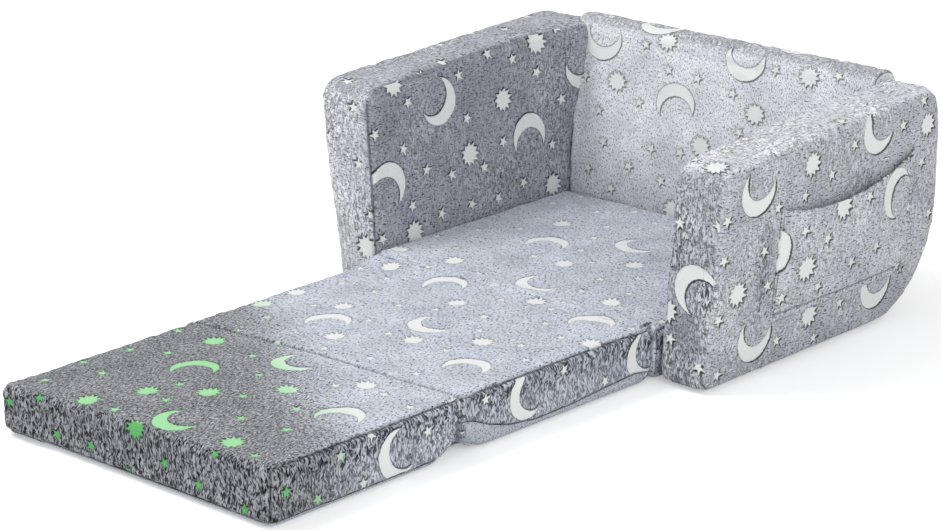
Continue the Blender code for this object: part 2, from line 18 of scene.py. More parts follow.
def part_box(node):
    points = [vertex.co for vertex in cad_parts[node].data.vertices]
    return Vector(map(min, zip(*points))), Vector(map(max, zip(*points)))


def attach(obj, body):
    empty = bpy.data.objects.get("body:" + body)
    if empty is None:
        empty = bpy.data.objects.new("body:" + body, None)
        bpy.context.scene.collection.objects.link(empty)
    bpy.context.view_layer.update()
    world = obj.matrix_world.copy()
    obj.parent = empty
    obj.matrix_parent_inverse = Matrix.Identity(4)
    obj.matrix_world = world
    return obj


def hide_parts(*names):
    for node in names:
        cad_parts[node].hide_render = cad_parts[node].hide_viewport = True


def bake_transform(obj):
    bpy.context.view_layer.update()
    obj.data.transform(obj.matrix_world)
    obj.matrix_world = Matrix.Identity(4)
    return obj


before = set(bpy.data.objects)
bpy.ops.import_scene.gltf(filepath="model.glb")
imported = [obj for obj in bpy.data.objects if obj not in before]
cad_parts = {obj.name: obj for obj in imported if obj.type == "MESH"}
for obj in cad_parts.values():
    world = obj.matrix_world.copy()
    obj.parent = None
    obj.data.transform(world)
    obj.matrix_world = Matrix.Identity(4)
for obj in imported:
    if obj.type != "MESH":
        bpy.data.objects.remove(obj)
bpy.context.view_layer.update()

# %% [markdown]
# ## Camera
# The photograph looks down at the sofa from its front right corner with a long lens. The camera is
# placed on a sphere round a point in the sofa, from an azimuth, an elevation and a distance, because
# those three numbers are what one reads off a product photograph.

# %% Camera
photo_width = 941
focal_pixels = 3000
sensor = 36.0
aim = Vector((0.0102, -0.0148, 0.1157))
camera_azimuth = math.radians(42.17)
camera_elevation = math.radians(17.87)
camera_distance = 3.338

bpy.ops.object.camera_add()
camera = bpy.context.object
camera.name = "camera"
camera.data.sensor_width = sensor
camera.data.lens = focal_pixels / photo_width * sensor
backwards = Vector((
    math.sin(camera_azimuth) * math.cos(camera_elevation),
    -math.cos(camera_azimuth) * math.cos(camera_elevation),
    math.sin(camera_elevation),
))
camera.location = aim + camera_distance * backwards
camera.rotation_mode = "QUATERNION"
camera.rotation_quaternion = (-backwards).to_track_quat("-Z", "Y")
bpy.context.scene.camera = camera
bpy.context.scene.view_settings.view_transform = "Standard"
print("camera at", [round(x, 3) for x in camera.location])

# %% [markdown]
# ## Shader maths
# The plush needs long sums of noise and of distances to the printed shapes. A small class wraps a
# node's socket, so that such sums can be written as Python expressions and still end up as nodes.


# %% A socket that adds nodes
class Wire:
    """A node's output, which adds Math nodes as it is used in a sum."""

    def __init__(self, recipe, socket):
        self.recipe = recipe
        self.socket = socket

    def math(self, operation, *others):
        """One Math node on this output and up to two more values."""
        values = dict(enumerate((self, *others)))
        return self.recipe.node("Math", {"operation": operation}, values)

    def other(self, name):
        """Another output of the same node."""
        return Wire(self.recipe, self.socket.node.outputs[name])

    def __add__(self, value):
        return self.math("ADD", value)

    __radd__ = __add__

    def __sub__(self, value):
        return self.math("SUBTRACT", value)

    def __rsub__(self, value):
        return (self * -1.0) + value

    def __mul__(self, value):
        return self.math("MULTIPLY", value)

    __rmul__ = __mul__

    def __truediv__(self, value):
        return self.math("DIVIDE", value)


class Recipe:
    """One material, with a method that adds any node to it."""

    def __init__(self, name):
        self.material = bpy.data.materials.new(name)
        self.material.use_nodes = True
        self.tree = self.material.node_tree
        self.tree.nodes.clear()

    def node(self, kind, settings=None, values=None, output=0):
        """Any node: its settings are set first, and then its sockets get values or links."""
        made = self.tree.nodes.new("ShaderNode" + kind)
        for key, value in (settings or {}).items():
            setattr(made, key, value)
        for key, value in (values or {}).items():
            if isinstance(value, Wire):
                self.tree.links.new(value.socket, made.inputs[key])
            else:
                made.inputs[key].default_value = value
        return Wire(self, made.outputs[output])

    def attribute(self, name):
        """A number that the mesh keeps for each vertex."""
        return self.node("Attribute", {"attribute_name": name}, output="Fac")

    def step(self, value, low, high):
        """A soft step from 0 at low to 1 at high."""
        limits = {"Value": value, "From Min": low, "From Max": high}
        return self.node("MapRange", {"interpolation_type": "SMOOTHSTEP"}, limits)

    def blend(self, share, first, second):
        """A mix of two colours."""
        return self.node("Mix", {"data_type": "RGBA"}, {0: share, 6: first, 7: second}, output=2)

    def vector(self, operation, first, second):
        """Vector maths on two places."""
        return self.node("VectorMath", {"operation": operation}, {0: first, 1: second})

    def noise(self, place, size, detail=2.0, roughness=0.55, distortion=0.0, output=0):
        """Noise whose grain measures size = (across, along, up) metres."""
        scale = tuple(1.0 / s for s in size)
        stretched = self.vector("MULTIPLY", place, scale)
        values = {
            "Vector": stretched, "Scale": 1.0, "Detail": detail,
            "Roughness": roughness, "Distortion": distortion,
        }
        return self.node("TexNoise", {"noise_dimensions": "3D"}, values, output)

    def finish(self, sockets, bump=None):
        """A Principled surface from its socket values, with a bump of (height, distance, strength)."""
        if bump:
            height, distance, strength = bump
            values = {"Height": height, "Distance": distance, "Strength": strength}
            sockets = {**sockets, "Normal": self.node("Bump", None, values)}
        surface = self.node("BsdfPrincipled", None, sockets)
        out = self.tree.nodes.new("ShaderNodeOutputMaterial")
        self.tree.links.new(surface.socket, out.inputs["Surface"])
        return self.material


def tint(red, green, blue):
    """An RGBA value from a colour as a screen shows it, 0 to 255."""
    channels = [c / 255 for c in (red, green, blue)]
    linear = [c / 12.92 if c < 0.04045 else ((c + 0.055) / 1.055) ** 2.4 for c in channels]
    return (*linear, 1.0)


print("shader helpers ready")

# %% [markdown]
# ## The printed shapes
# The fabric carries a common night sky pattern: crescent moons, many-pointed suns and small
# five-pointed stars. Each is a signed distance in metres, positive inside, so that one formula gives
# the print, the dip that the short pile makes there, and the rim of dark roots and painted shadow
# where the long pile ends.
# Every face of a plush piece stores, in a UV map, where it lies from the middle of its nearest shape.
# The map's u also holds the kind of shape, as whole metres.

# %% The shapes' sizes
moon_radius = 0.0295
moon_bite_shift = 0.0135
moon_bite_radius = 0.0245
sun_radius, sun_points, sun_notch = 0.0162, 11, 0.66
star_radius, star_points, star_notch = 0.0090, 5, 0.42
MOON, SUN, STAR = 0, 1, 2
shape_reach = {MOON: moon_radius, SUN: sun_radius, STAR: star_radius}
blank_place = 0.3  # where a face without a shape lies from its middle
print("a moon, a sun and a star reach", list(shape_reach.values()), "m from their middles")


# %% How deep a point lies in its shape
def shape_depth(recipe, across, along, kind):
    """How deep inside its printed shape a point lies, as nodes."""
    away = (across * across + along * along).math("SQRT")
    bitten = across - moon_bite_shift
    from_bite = (bitten * bitten + along * along).math("SQRT") - moon_bite_radius
    moon = (moon_radius - away).math("MINIMUM", from_bite)
    is_star = recipe.step(kind, 1.4, 1.6)
    slice_angle = math.tau / sun_points + is_star * (math.tau / star_points - math.tau / sun_points)
    half_slice = slice_angle * 0.5
    reach = sun_radius + is_star * (star_radius - sun_radius)
    notch = reach * (sun_notch + is_star * (star_notch - sun_notch))
    angle = along.math("ARCTAN2", across) + math.tau
    folded = (angle.math("MODULO", slice_angle) - half_slice).math("ABSOLUTE")
    point_x, point_y = away * folded.math("COSINE"), away * folded.math("SINE")
    notch_x, notch_y = notch * half_slice.math("COSINE"), notch * half_slice.math("SINE")
    edge_x, edge_y = notch_x - reach, notch_y
    edge = (edge_x * edge_x + edge_y * edge_y).math("SQRT")
    spiky = (edge_y * (point_x - reach) - edge_x * point_y) / edge * -1.0
    is_moon = 1.0 - recipe.step(kind, 0.4, 0.6)
    return spiky + is_moon * (moon - spiky)


print("a sun has", sun_points, "rays and a star", star_points)

# %% [markdown]
# ## Plush
# Frosted plush is dyed dark at the root and left pale at the tip. Where the nap lies flat it reads as
# pale grey with short dark dashes, and where it is ruffled, as dark curls between pale tufts. Noise
# stretched along the nap gives both, on coordinates in metres that follow each sewn panel.
# Vertex attributes say how ruffled a place is, how bright it is with painted light and shade, how far
# the nearest seam is and how far into the dark it reaches. The print is cut into the pile with the
# shapes' distance, and beside it a rim of dark roots and painted shadow is widest on one side.

# %% Sizes and colours of the pile and the print
nap_warp_size = (0.011, 0.014, 0.011)
nap_warp_reach = 0.0042
down_nap_size = (0.0015, 0.0038, 0.0015)
along_nap_size = (0.0050, 0.0016, 0.0016)
dotted_nap_size = (0.0016, 0.0026, 0.0016)
curl_size = (0.0025, 0.0068, 0.0025)
patch_size = (0.045, 0.060, 0.045)
print_fray = 0.0011
# How far to one side the painted shadow of a print's rim reaches.
shadow_rim_shift = 0.0026
outline_share = 0.15
shade_between_rays_share = 0.40
ruffled_roots_and_shadow_share = 0.9
dusk_tip, dusk_root = tint(206, 208, 214), tint(14, 15, 20)
print_white, smooth_green, ruffled_green = tint(233, 236, 234), tint(170, 226, 172), tint(96, 172, 104)
# The rim's colours in the light and in the dark: dark roots with painted shadow.
roots_and_shadow_blue, dusk_roots_and_shadow = tint(16, 19, 28), tint(24, 34, 34)
black, glow_green = (0.0, 0.0, 0.0, 1.0), tint(120, 236, 130)
glow_strength = 0.05
pile_bump_distance, pile_bump_strength = 0.0015, 0.9
print("the nap wanders by up to", nap_warp_reach / 2, "m")


# %% The nap's noise and the print's masks
def nap_noise(r, nap_size):
    """The fine dashes, the larger curls and the wide soft patches of the pile."""
    cloth = r.node("UVMap", {"uv_map": "cloth"})
    warp = r.noise(cloth, nap_warp_size, 1.0, output=1)
    warp = r.vector("SUBTRACT", warp, (0.5, 0.5, 0.5))
    warp = r.vector("MULTIPLY", warp, (nap_warp_reach, nap_warp_reach, 0.0))
    place = r.vector("ADD", cloth, warp)
    fine = r.noise(place, nap_size, 2.0, 0.55, 0.4)
    curls = r.noise(place, curl_size, 1.5, 0.5, 1.1)
    return fine, curls, r.noise(cloth, patch_size, 2.0)


def print_masks(r, fine):
    """Where the print is, and the dark rim round it of roots and painted shadow, with painted shade between a
    sun's rays.
    """
    at_shape = r.node("SeparateXYZ", None, {0: r.node("UVMap", {"uv_map": "shape"})})
    lean = r.node("SeparateXYZ", None, {0: r.node("UVMap", {"uv_map": "lean"})})
    kind = (at_shape + 0.5).math("FLOOR")
    across, along = at_shape - kind, at_shape.other("Y")
    fray = (fine - 0.5) * (2 * print_fray)
    depth = shape_depth(r, across, along, kind) + fray
    shifted = shape_depth(r, across + lean, along + lean.other("Y"), kind) + fray
    print_in = r.step(depth, -0.0002, 0.0006)
    outline = r.step(depth, -0.0015, -0.0007) * outline_share
    # Painted shade fills the pile between a sun's rays.
    away = (across * across + along * along).math("SQRT")
    is_sun = r.step(kind, 0.4, 0.6) * (1.0 - r.step(kind, 1.4, 1.6))
    in_reach = 1.0 - r.step(away, sun_radius * 0.92, sun_radius * 0.98)
    shade_between_rays = is_sun * in_reach * shade_between_rays_share
    # The rim is the pile's dark roots, with a painted shadow on one side.
    roots_and_shadow_rim = r.step(shifted, -0.0004, 0.0004).math("MAXIMUM", outline).math("MAXIMUM", shade_between_rays)
    return print_in, roots_and_shadow_rim * (1.0 - print_in)


print("nap and print helpers ready")


# %% The plush material
def plush(name, tip, root, nap_size, least_roots_and_shadow):
    """The fabric of one group of covers, from its tip and root colours."""
    r = Recipe(name)
    fine, curls, patches = nap_noise(r, nap_size)
    print_in, roots_and_shadow_rim = print_masks(r, fine)
    curl, tone_and_shade = r.attribute("curl"), r.attribute("tone_and_shade")
    seam, dusk = r.attribute("seam"), r.attribute("dusk")
    seam_gap = 1.0 - r.step(seam.math("ABSOLUTE"), 0.0004, 0.0022)

    # The pile: pale tips over dark roots, in dashes where it is smooth and in curls where it is ruffled.
    dashes = 0.10 + 0.90 * r.step(fine, 0.35 + dusk * 0.10, 0.46 + dusk * 0.12)
    tips = dashes + curl * (r.step(curls, 0.39, 0.60) - dashes)
    pile = r.blend(tips, r.blend(dusk, root, dusk_root), r.blend(dusk, tip, dusk_tip))
    lit = tone_and_shade * (0.66 + patches * 0.68) * (1.0 - dusk * 0.25)
    shade = r.node("CombineColor", None, {0: lit, 1: lit * 0.97 + 0.03, 2: lit * 0.90 + 0.10})
    multiply = {"data_type": "RGBA", "blend_type": "MULTIPLY"}
    fabric = r.node("Mix", multiply, {0: 1.0, 6: pile, 7: shade}, output=2)

    # The print: white in the light, green in the dark, with specks of the root and a rim of dark roots and
    # painted shadow.
    white = r.blend(dusk, print_white, r.blend(curl, smooth_green, ruffled_green))
    ink = r.blend(r.step(fine, 0.25, 0.75), r.blend(0.06, white, root), white)
    # The rim is painted as dark roots and shadow, bluer in the light.
    roots_and_shadow_colour = r.blend(dusk, r.blend(0.75, root, roots_and_shadow_blue), dusk_roots_and_shadow)
    fabric = r.blend(roots_and_shadow_rim * (least_roots_and_shadow + (ruffled_roots_and_shadow_share - least_roots_and_shadow) * curl), fabric, roots_and_shadow_colour)
    fabric = r.blend(print_in, fabric, ink)
    fabric = r.blend(seam_gap * 0.75, fabric, r.blend(0.35, root, fabric))

    height = tips * (0.5 + curl * 0.5) * (1.0 - print_in) + (1.0 - print_in) * 0.9 - seam_gap * 1.2
    sockets = {
        "Base Color": fabric, "Roughness": 0.86, "Specular IOR Level": 0.18,
        "Sheen Weight": 0.18, "Sheen Roughness": 0.5,
        "Emission Color": r.blend(print_in * dusk, black, glow_green), "Emission Strength": glow_strength,
    }
    return r.finish(sockets, (height, pile_bump_distance, pile_bump_strength))


arm_plush = plush("arm_plush", tint(218, 220, 228), tint(30, 35, 48), along_nap_size, 0.85)
back_plush = plush("back_plush", tint(212, 214, 220), tint(104, 109, 120), dotted_nap_size, 0.75)
mattress_plush = plush("mattress_plush", tint(198, 204, 216), tint(34, 40, 54), down_nap_size, 0.25)
print("plush materials", arm_plush.name, back_plush.name, mattress_plush.name)

# %% [markdown]
# ## The other finishes
# The foot of each cover is a short brushed base fabric. The zips have a woven polyester tape with a
# nylon coil, and their sliders and pulls are satin zinc that is a little rubbed along its edges.


# %% Base fabric
def base_fabric():
    """A short pile with a faint cross rib, lighter than the plush above it."""
    r = Recipe("base_fabric")
    place = r.node("TexCoord", output="Object")
    grain = r.noise(place, (0.0012, 0.0020, 0.0016), 3.0, 0.6, 0.4)
    ribs = r.noise(place, (0.0300, 0.0300, 0.0009), 1.0)
    speck = r.step(grain, 0.36, 0.52)
    colour = r.blend(speck, tint(112, 118, 130), tint(192, 197, 206))
    colour = r.blend(r.step(ribs, 0.45, 0.6) * 0.12, colour, tint(120, 124, 134))
    sockets = {"Base Color": colour, "Roughness": 0.88, "Specular IOR Level": 0.2, "Sheen Weight": 0.1}
    return r.finish(sockets, (grain * 0.7 + ribs * 0.3, 0.0006, 0.6))


base_cloth = base_fabric()
print("finish", base_cloth.name)

# %% Zip tape
thread_rise, thread_run = 0.0009, 0.0011


def zip_tape():
    """Woven tape: fine threads along and across it."""
    r = Recipe("zip_tape")
    place = r.node("TexCoord", output="Object")
    along = r.node("SeparateXYZ", None, {0: place})
    up = (along.other("Z") * (math.tau / thread_rise)).math("SINE")
    wale = ((along + along.other("Y")) * (math.tau / thread_run)).math("SINE")
    weave = up * wale * 0.5 + 0.5
    dust = r.noise(place, (0.004, 0.004, 0.004), 3.0)
    colour = r.blend(weave, tint(92, 96, 104), tint(128, 132, 142))
    colour = r.blend(r.step(dust, 0.5, 0.8) * 0.3, colour, tint(150, 152, 158))
    sockets = {"Base Color": colour, "Roughness": 0.8, "Specular IOR Level": 0.3}
    return r.finish(sockets, (weave, 0.0002, 0.5))


tape_weave = zip_tape()
print("finish", tape_weave.name)


# %% Zip metal
def zip_metal():
    """Satin zinc alloy with a fine brushed grain and small scuffs."""
    r = Recipe("zip_metal")
    place = r.node("TexCoord", output="Object")
    grain = r.noise(place, (0.0002, 0.0002, 0.0030), 3.0, 0.7)
    scuff = r.noise(place, (0.0018, 0.0018, 0.0018), 4.0, 0.65)
    colour = r.blend(r.step(scuff, 0.45, 0.7), tint(176, 177, 180), tint(196, 197, 199))
    rough = 0.30 + grain * 0.16 + r.step(scuff, 0.55, 0.75) * 0.12
    sockets = {"Base Color": colour, "Metallic": 1.0, "Roughness": rough}
    return r.finish(sockets, (grain, 0.00005, 0.3))


satin_zinc = zip_metal()
print("finish", satin_zinc.name)

# %% [markdown]
# ## From a foam block to a plush body
# A cover of thick plush hides its seams' sharp folds, and its skin is a mass of small tufts. The
# foam block of the CAD model is copied, merged and grown to the outside of the cover. A voxel remesh
# then cuts it into even little squares, fine enough to carry tufts, puckers and the dents of seams,
# which vertex moves add afterwards, because a remesh would erase them.


# %% Selecting, copying and modifiers
def alone(piece):
    """Selects one object and nothing else."""
    bpy.ops.object.select_all(action="DESELECT")
    piece.select_set(True)
    bpy.context.view_layer.objects.active = piece


def copy_of(node, name):
    """A new piece from a CAD node's mesh, with its loose triangles merged."""
    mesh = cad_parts[node].data.copy()
    mesh.materials.clear()
    piece = bpy.data.objects.new(name, mesh)
    mesh.name = name
    bpy.context.scene.collection.objects.link(piece)
    alone(piece)
    bpy.ops.object.mode_set(mode="EDIT")
    bpy.ops.mesh.select_all(action="SELECT")
    bpy.ops.mesh.remove_doubles(threshold=1e-6)
    bpy.ops.mesh.normals_make_consistent(inside=False)
    bpy.ops.object.mode_set(mode="OBJECT")
    return piece


def apply_modifier(piece, kind, **settings):
    """Adds a modifier with its settings and applies it."""
    alone(piece)
    made = piece.modifiers.new(kind.lower(), kind)
    for key, value in settings.items():
        setattr(made, key, value)
    bpy.ops.object.modifier_apply(modifier=made.name)


print("piece helpers ready")


# %% Vertices as arrays
def places(piece):
    """The vertices' places, one row each."""
    co = np.empty(len(piece.data.vertices) * 3)
    piece.data.vertices.foreach_get("co", co)
    return co.reshape(-1, 3)


def set_places(piece, co):
    """Moves the vertices to new places."""
    piece.data.vertices.foreach_set("co", co.ravel())
    piece.data.update()


def normals(piece):
    """The vertices' normals, one row each."""
    no = np.empty(len(piece.data.vertices) * 3, np.float32)
    piece.data.vertex_normals.foreach_get("vector", no)
    return no.reshape(-1, 3).astype(float)


def note(piece, name, values):
    """Keeps one number for each vertex as an attribute that the material reads."""
    kept = piece.data.attributes.new(name, "FLOAT", "POINT")
    kept.data.foreach_set("value", np.broadcast_to(values, len(piece.data.vertices)).astype(np.float32))


def soft_step(value, low, high):
    """Rises smoothly from 0 at low to 1 at high."""
    share = np.clip((value - low) / (high - low), 0.0, 1.0)
    return share * share * (3 - 2 * share)


def bump_at(values, middle, width):
    """A soft hump of height 1 round a middle value."""
    return np.exp(-(((values - middle) / width) ** 2))


def ruffle(points, seed=0):
    """Smooth noise from 0 to 1 in cells one unit wide. Each cell's corner gets its value from a hash."""
    cell = np.floor(points).astype(np.int64)
    share = points - cell
    share = share * share * (3 - 2 * share)
    total = np.zeros(len(points))
    for corner in range(8):
        step = np.array([(corner >> axis) & 1 for axis in range(3)])
        i, j, k = (cell + step).T
        mixed = (i * 374761393 + j * 668265263 + k * 1440662683 + seed * 1013904223) & 0xFFFFFFFF
        mixed = ((mixed ^ (mixed >> 13)) * 1274126177) & 0xFFFFFFFF
        value = ((mixed ^ (mixed >> 16)) & 0xFFFF) / 65535.0
        weight = np.prod(np.where(step == 1, share, 1 - share), axis=1)
        total += value * weight
    return total


print("array helpers ready")

# %% The plush body of a foam block
plush_growth = 0.0027
plush_voxel = 0.0022
smoothing_rounds = 8


def plush_blank(node, name, growth=plush_growth, voxel=plush_voxel, rounds=smoothing_rounds):
    """A block grown to the outside of its plush and cut into even squares."""
    piece = copy_of(node, name)
    apply_modifier(piece, "DISPLACE", strength=growth, mid_level=0.0)
    apply_modifier(piece, "REMESH", mode="VOXEL", voxel_size=voxel)
    apply_modifier(piece, "SMOOTH", factor=0.5, iterations=rounds)
    print(name, len(piece.data.polygons), "faces")
    return piece


# %% [markdown]
# ## Panels
# The covers are sewn from panels: the two sides of a block, and one long strip round its front, top
# and rear. The seam runs where the rounded edge faces half sideways, so a face belongs to a side
# panel when its normal leans more than 45 degrees sideways. Each panel gets its own coordinates in
# metres, which the nap follows, and which run on round the strip's corners.

# %% Panels and their coordinates
SIDE_RIGHT, SIDE_LEFT, STRIP, UNDER = 0, 1, 2, 3
seam_turn = math.sqrt(0.5)
under_turn = 0.8
strip_turn = 0.3


def panel_of(no, form):
    """The panel of each normal. A patch is one panel by itself."""
    if form == "patch":
        return np.full(len(no), SIDE_RIGHT)
    panel = np.full(len(no), STRIP)
    panel[no[:, 2] < -under_turn] = UNDER
    panel[no[:, 0] > seam_turn] = SIDE_RIGHT
    panel[no[:, 0] < -seam_turn] = SIDE_LEFT
    return panel


def cloth_place(co, no, form):
    """Coordinates in metres on the panels, across and along the nap.

    form is "pad", "patch" or an upright block's front, rear and top.
    """
    panel = panel_of(no, form)
    x, y, z = co.T
    sides = panel < STRIP
    if form in ("pad", "patch"):
        turned = np.abs(no[:, 1]) > strip_turn
        run = y + np.where(turned, np.sign(no[:, 1]) * (pad_top - z), 0.0)
    else:
        front, rear, top = form
        behind = (y > (front + rear) / 2) & (no[:, 1] > strip_turn)
        run = np.where(behind, 2 * top - z + rear - front, z + y - front)
    across = np.where(sides, y, x)
    return np.column_stack([across, np.where(sides, z, run)])


def upright(node):
    """The front, rear and top of an upright block, where its strip of fabric turns."""
    low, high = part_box(node)
    return low.y, high.y, high.z


pad_top = max(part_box(node)[1].z for node in ("seat_cover", "middle_cover", "front_cover"))
print("pads' top at", round(pad_top, 4))

# %% [markdown]
# ## Where the print lies
# Moons and suns are placed to the half centimetre, about where the photograph shows them,
# because they are large enough to be recognised. The small stars are scattered by a seeded rule that
# keeps them clear of the rest, and so is the whole print on the sides that don't show in the
# photograph. A moon's third number is the direction in which its bite opens, in degrees.

# %% Moons and suns, in centimetres
mattress_moons = (
    (14.5, -36, -65), (-7.5, -35.5, -55), (-0.5, -27.5, 65), (3, -47.5, 65), (14, -16.5, -75),
    (-8, -15, -60), (2, -9, 65), (-7, 3, -62), (14.5, 3.5, -62), (1, 10, 70), (-8, 22, -68), (0.5, 28.5, 65),
    (14.5, 34, -60),
)
mattress_suns = (
    (-9, -49), (11.5, -48), (-6, -43.5), (-0.5, -40), (5, -34), (10, -27.5), (-13, -27.5),
    (-3.5, -18.5), (4, -14), (-10.5, -10), (10, -9.5), (19, -2), (-1, -1.5), (-16.5, 4), (5, 5),
    (-19, -14.5), (-19, -9), (11.5, 10.5), (-12, 10), (-1.5, 17.5), (5, 22.5), (-12, 29.5),
    (-20, 9), (0, -51.5),
)
near_side_moons = ((-33, 3, 20), (-13.5, 4, 15), (5.5, 3.5, 30))
back_moons = ((-6, 21.5, -80), (-18.5, 28.5, 85), (3.5, 29.5, 85))
back_suns = ((-1.5, 16.5), (6, 22.5), (-15.5, 23), (13, 29), (-8.5, 30), (-5, 7))
left_arm_moons = ((19.5, 22, 140), (35.5, 14.5, -90), (10, 13.5, -115), (44.5, 22, 110))
left_arm_suns = ((12, 25.5), (37.5, 26), (31, 20), (24.5, 14.5), (39.5, 7.5), (14, 7))
left_strip_suns = ((-23.5, 6.5),)
right_arm_moons = ((13.5, 22.5, 74), (15.5, 5, 77), (35.5, 25, 45), (38.5, 5.5, 70))
right_arm_suns = ((11.5, 11), (23, 23.5), (45.5, 23.5), (25.5, 5))
right_strip_moons = ((26, 12, -45),)
right_strip_suns = ((27, 27.5), (22, 9))
pocket_moons = ((39, 16.5, -25), (16.5, 14.5, -160))
pocket_suns = ((28, 17), (22.5, 11.5))


print("placed by hand:", len(mattress_moons), "moons and", len(mattress_suns), "suns on the mattress")

# %% Laying and scattering the shapes
sun_turn = 15  # degrees from one sun of a list to the next
star_spacing = 0.044
shape_gap = 0.0065
scatter_tries = 900


def laid(moons=(), suns=()):
    """The shapes of a list in centimetres, in metres: (across, along, kind, turn)."""
    shapes = [(x / 100, y / 100, MOON, math.radians(turn)) for x, y, turn in moons]
    return shapes + [(x / 100, y / 100, SUN, math.radians(sun_turn * n)) for n, (x, y) in enumerate(suns)]


def scatter(shapes, low, high, seed, moons=0, suns=0):
    """Adds moons, suns and then stars at random in a rectangle, clear of what is there."""
    draw = random.Random(seed)
    shapes = list(shapes)
    wanted = [MOON] * moons + [SUN] * suns
    for _ in range(scatter_tries):
        kind = wanted[0] if wanted else STAR
        at = [draw.uniform(low[axis], high[axis]) for axis in (0, 1)]
        turn = draw.uniform(0, math.tau)
        gaps = (
            math.dist(at, s[:2]) - shape_reach[s[2]] - shape_reach[kind]
            - (star_spacing - 2 * star_radius if s[2] == kind == STAR else shape_gap)
            for s in shapes
        )
        if all(gap > 0 for gap in gaps):
            shapes.append((at[0], at[1], kind, turn))
            wanted = wanted[1:]
    return shapes


print("stars lie at least", star_spacing, "m apart")

# %% The print on each panel
mattress_print = scatter(laid(mattress_moons, mattress_suns), (-0.21, -0.58), (0.21, 0.43), 4)
near_side_print = scatter(laid(near_side_moons), (-0.50, 0.012), (0.065, 0.060), 5)
far_side_print = scatter([], (-0.50, 0.012), (0.065, 0.060), 6, moons=3, suns=3)
back_print = scatter(laid(back_moons, back_suns), (-0.21, 0.05), (0.21, 0.30), 7)
back_rear_print = scatter([], (-0.21, 0.33), (0.21, 0.64), 8, moons=7, suns=14)
left_inner_print = scatter(laid(left_arm_moons, left_arm_suns), (0.08, 0.03), (0.49, 0.28), 9)
left_outer_print = scatter([], (0.08, 0.02), (0.49, 0.28), 10, moons=5, suns=7)
right_outer_print = scatter(laid(right_arm_moons, right_arm_suns), (0.08, 0.015), (0.49, 0.28), 11)
right_inner_print = scatter([], (0.08, 0.07), (0.49, 0.28), 12, moons=4, suns=6)
right_strip_print = scatter(laid(right_strip_moons, right_strip_suns), (0.21, 0.02), (0.30, 0.99), 13)
left_strip_print = scatter(laid(suns=left_strip_suns), (-0.31, 0.02), (-0.21, 0.99), 14)
pocket_print = scatter(laid(pocket_moons, pocket_suns), (0.185, 0.068), (0.43, 0.215), 15)
print("with its stars the mattress has", len(mattress_print), "shapes")

# %% [markdown]
# ## The print as UV maps
# An image would need a picture of the cloth. Three UV maps on the fine mesh do without one: where a
# face lies on the cloth, where it lies from the middle of its own shape, and on which side the painted
# shadow of the dark rim lies there. A whole face takes one shape, so that no face mixes two.


# %% Face means and the nearest shape
def corner_means(piece, values):
    """Each face's mean of a value that its vertices hold, and the vertex and the face of each corner."""
    mesh = piece.data
    corners = np.empty(len(mesh.loops), np.int32)
    mesh.loops.foreach_get("vertex_index", corners)
    starts = np.empty(len(mesh.polygons), np.int32)
    mesh.polygons.foreach_get("loop_start", starts)
    totals = np.empty(len(mesh.polygons), np.int32)
    mesh.polygons.foreach_get("loop_total", totals)
    means = np.add.reduceat(values[corners], starts, axis=0) / totals[:, None]
    return means, corners, np.repeat(np.arange(len(totals)), totals)


def local_place(flat, shape):
    """Points in the coordinates of one printed shape."""
    across, along, _, turn = shape
    x, y = flat[..., 0] - across, flat[..., 1] - along
    c, s = math.cos(turn), math.sin(turn)
    return np.stack([c * x + s * y, c * y - s * x], axis=-1)


shape_surround = 1.45
spiky_mean_reach = 0.78


def nearest_shape(flat, panel, prints, size):
    """For each point the number of the shape that it lies in or by, or -1. size scales the shapes."""
    best = np.full(len(flat), shape_surround)
    found = np.full(len(flat), -1)
    shapes = []
    for panels, listed in prints:
        in_panel = np.isin(panel, panels)
        for shape in listed:
            away = np.hypot(flat[:, 0] - shape[0], flat[:, 1] - shape[1]) / (shape_reach[shape[2]] * size)
            nearer = in_panel & (away < best)
            best[nearer] = away[nearer]
            found[nearer] = len(shapes)
            shapes.append(shape)
    return found, shapes


def print_depth(flat, found, shapes, size):
    """How deep inside its shape each point lies, as the material works it out, for suns and stars roughly."""
    depth = np.full(len(flat), -1.0)
    for number, shape in enumerate(shapes):
        inside = found == number
        if not inside.any():
            continue
        at = local_place(flat[inside], shape) / size
        away = np.hypot(at[:, 0], at[:, 1])
        if shape[2] == MOON:
            bite = np.hypot(at[:, 0] - moon_bite_shift, at[:, 1]) - moon_bite_radius
            depth[inside] = np.minimum(moon_radius - away, bite)
        else:
            depth[inside] = shape_reach[shape[2]] * spiky_mean_reach - away
    return depth


print("shapes count as near up to", shape_surround, "times their reach")

# %% Writing the UV maps
panel_shift = 0.7


def face_uv(piece, name, values):
    """A UV map from one pair of numbers for each corner."""
    layer = piece.data.uv_layers.new(name=name)
    layer.data.foreach_set("uv", values.astype(np.float32).ravel())


def lay_cloth(piece, co, no, form, prints, lean, size):
    """Writes the three UV maps that the plush reads. lean points from a shape's middle to its rim's painted
    shadow.
    """
    face_no, corners, owner = corner_means(piece, no)
    face_co = corner_means(piece, co)[0]
    panel = panel_of(face_no, form)
    flat_face = cloth_place(face_co, face_no, form)
    flat = cloth_place(co[corners], face_no[owner], form)
    face_uv(piece, "cloth", flat + panel[owner][:, None] * panel_shift)
    found, shapes = nearest_shape(flat_face, panel, prints, size)
    at = np.full((len(corners), 2), blank_place)
    leaning = np.zeros((len(corners), 2))
    shape_at_corner = found[owner]
    for number, shape in enumerate(shapes):
        here = shape_at_corner == number
        if here.any():
            at[here] = local_place(flat[here], shape) / size + (shape[2], 0.0)
            c, s = math.cos(shape[3]), math.sin(shape[3])
            dx, dy = -lean[0] * shadow_rim_shift, -lean[1] * shadow_rim_shift
            leaning[here] = (c * dx + s * dy, c * dy - s * dx)
    face_uv(piece, "shape", at)
    face_uv(piece, "lean", leaning)


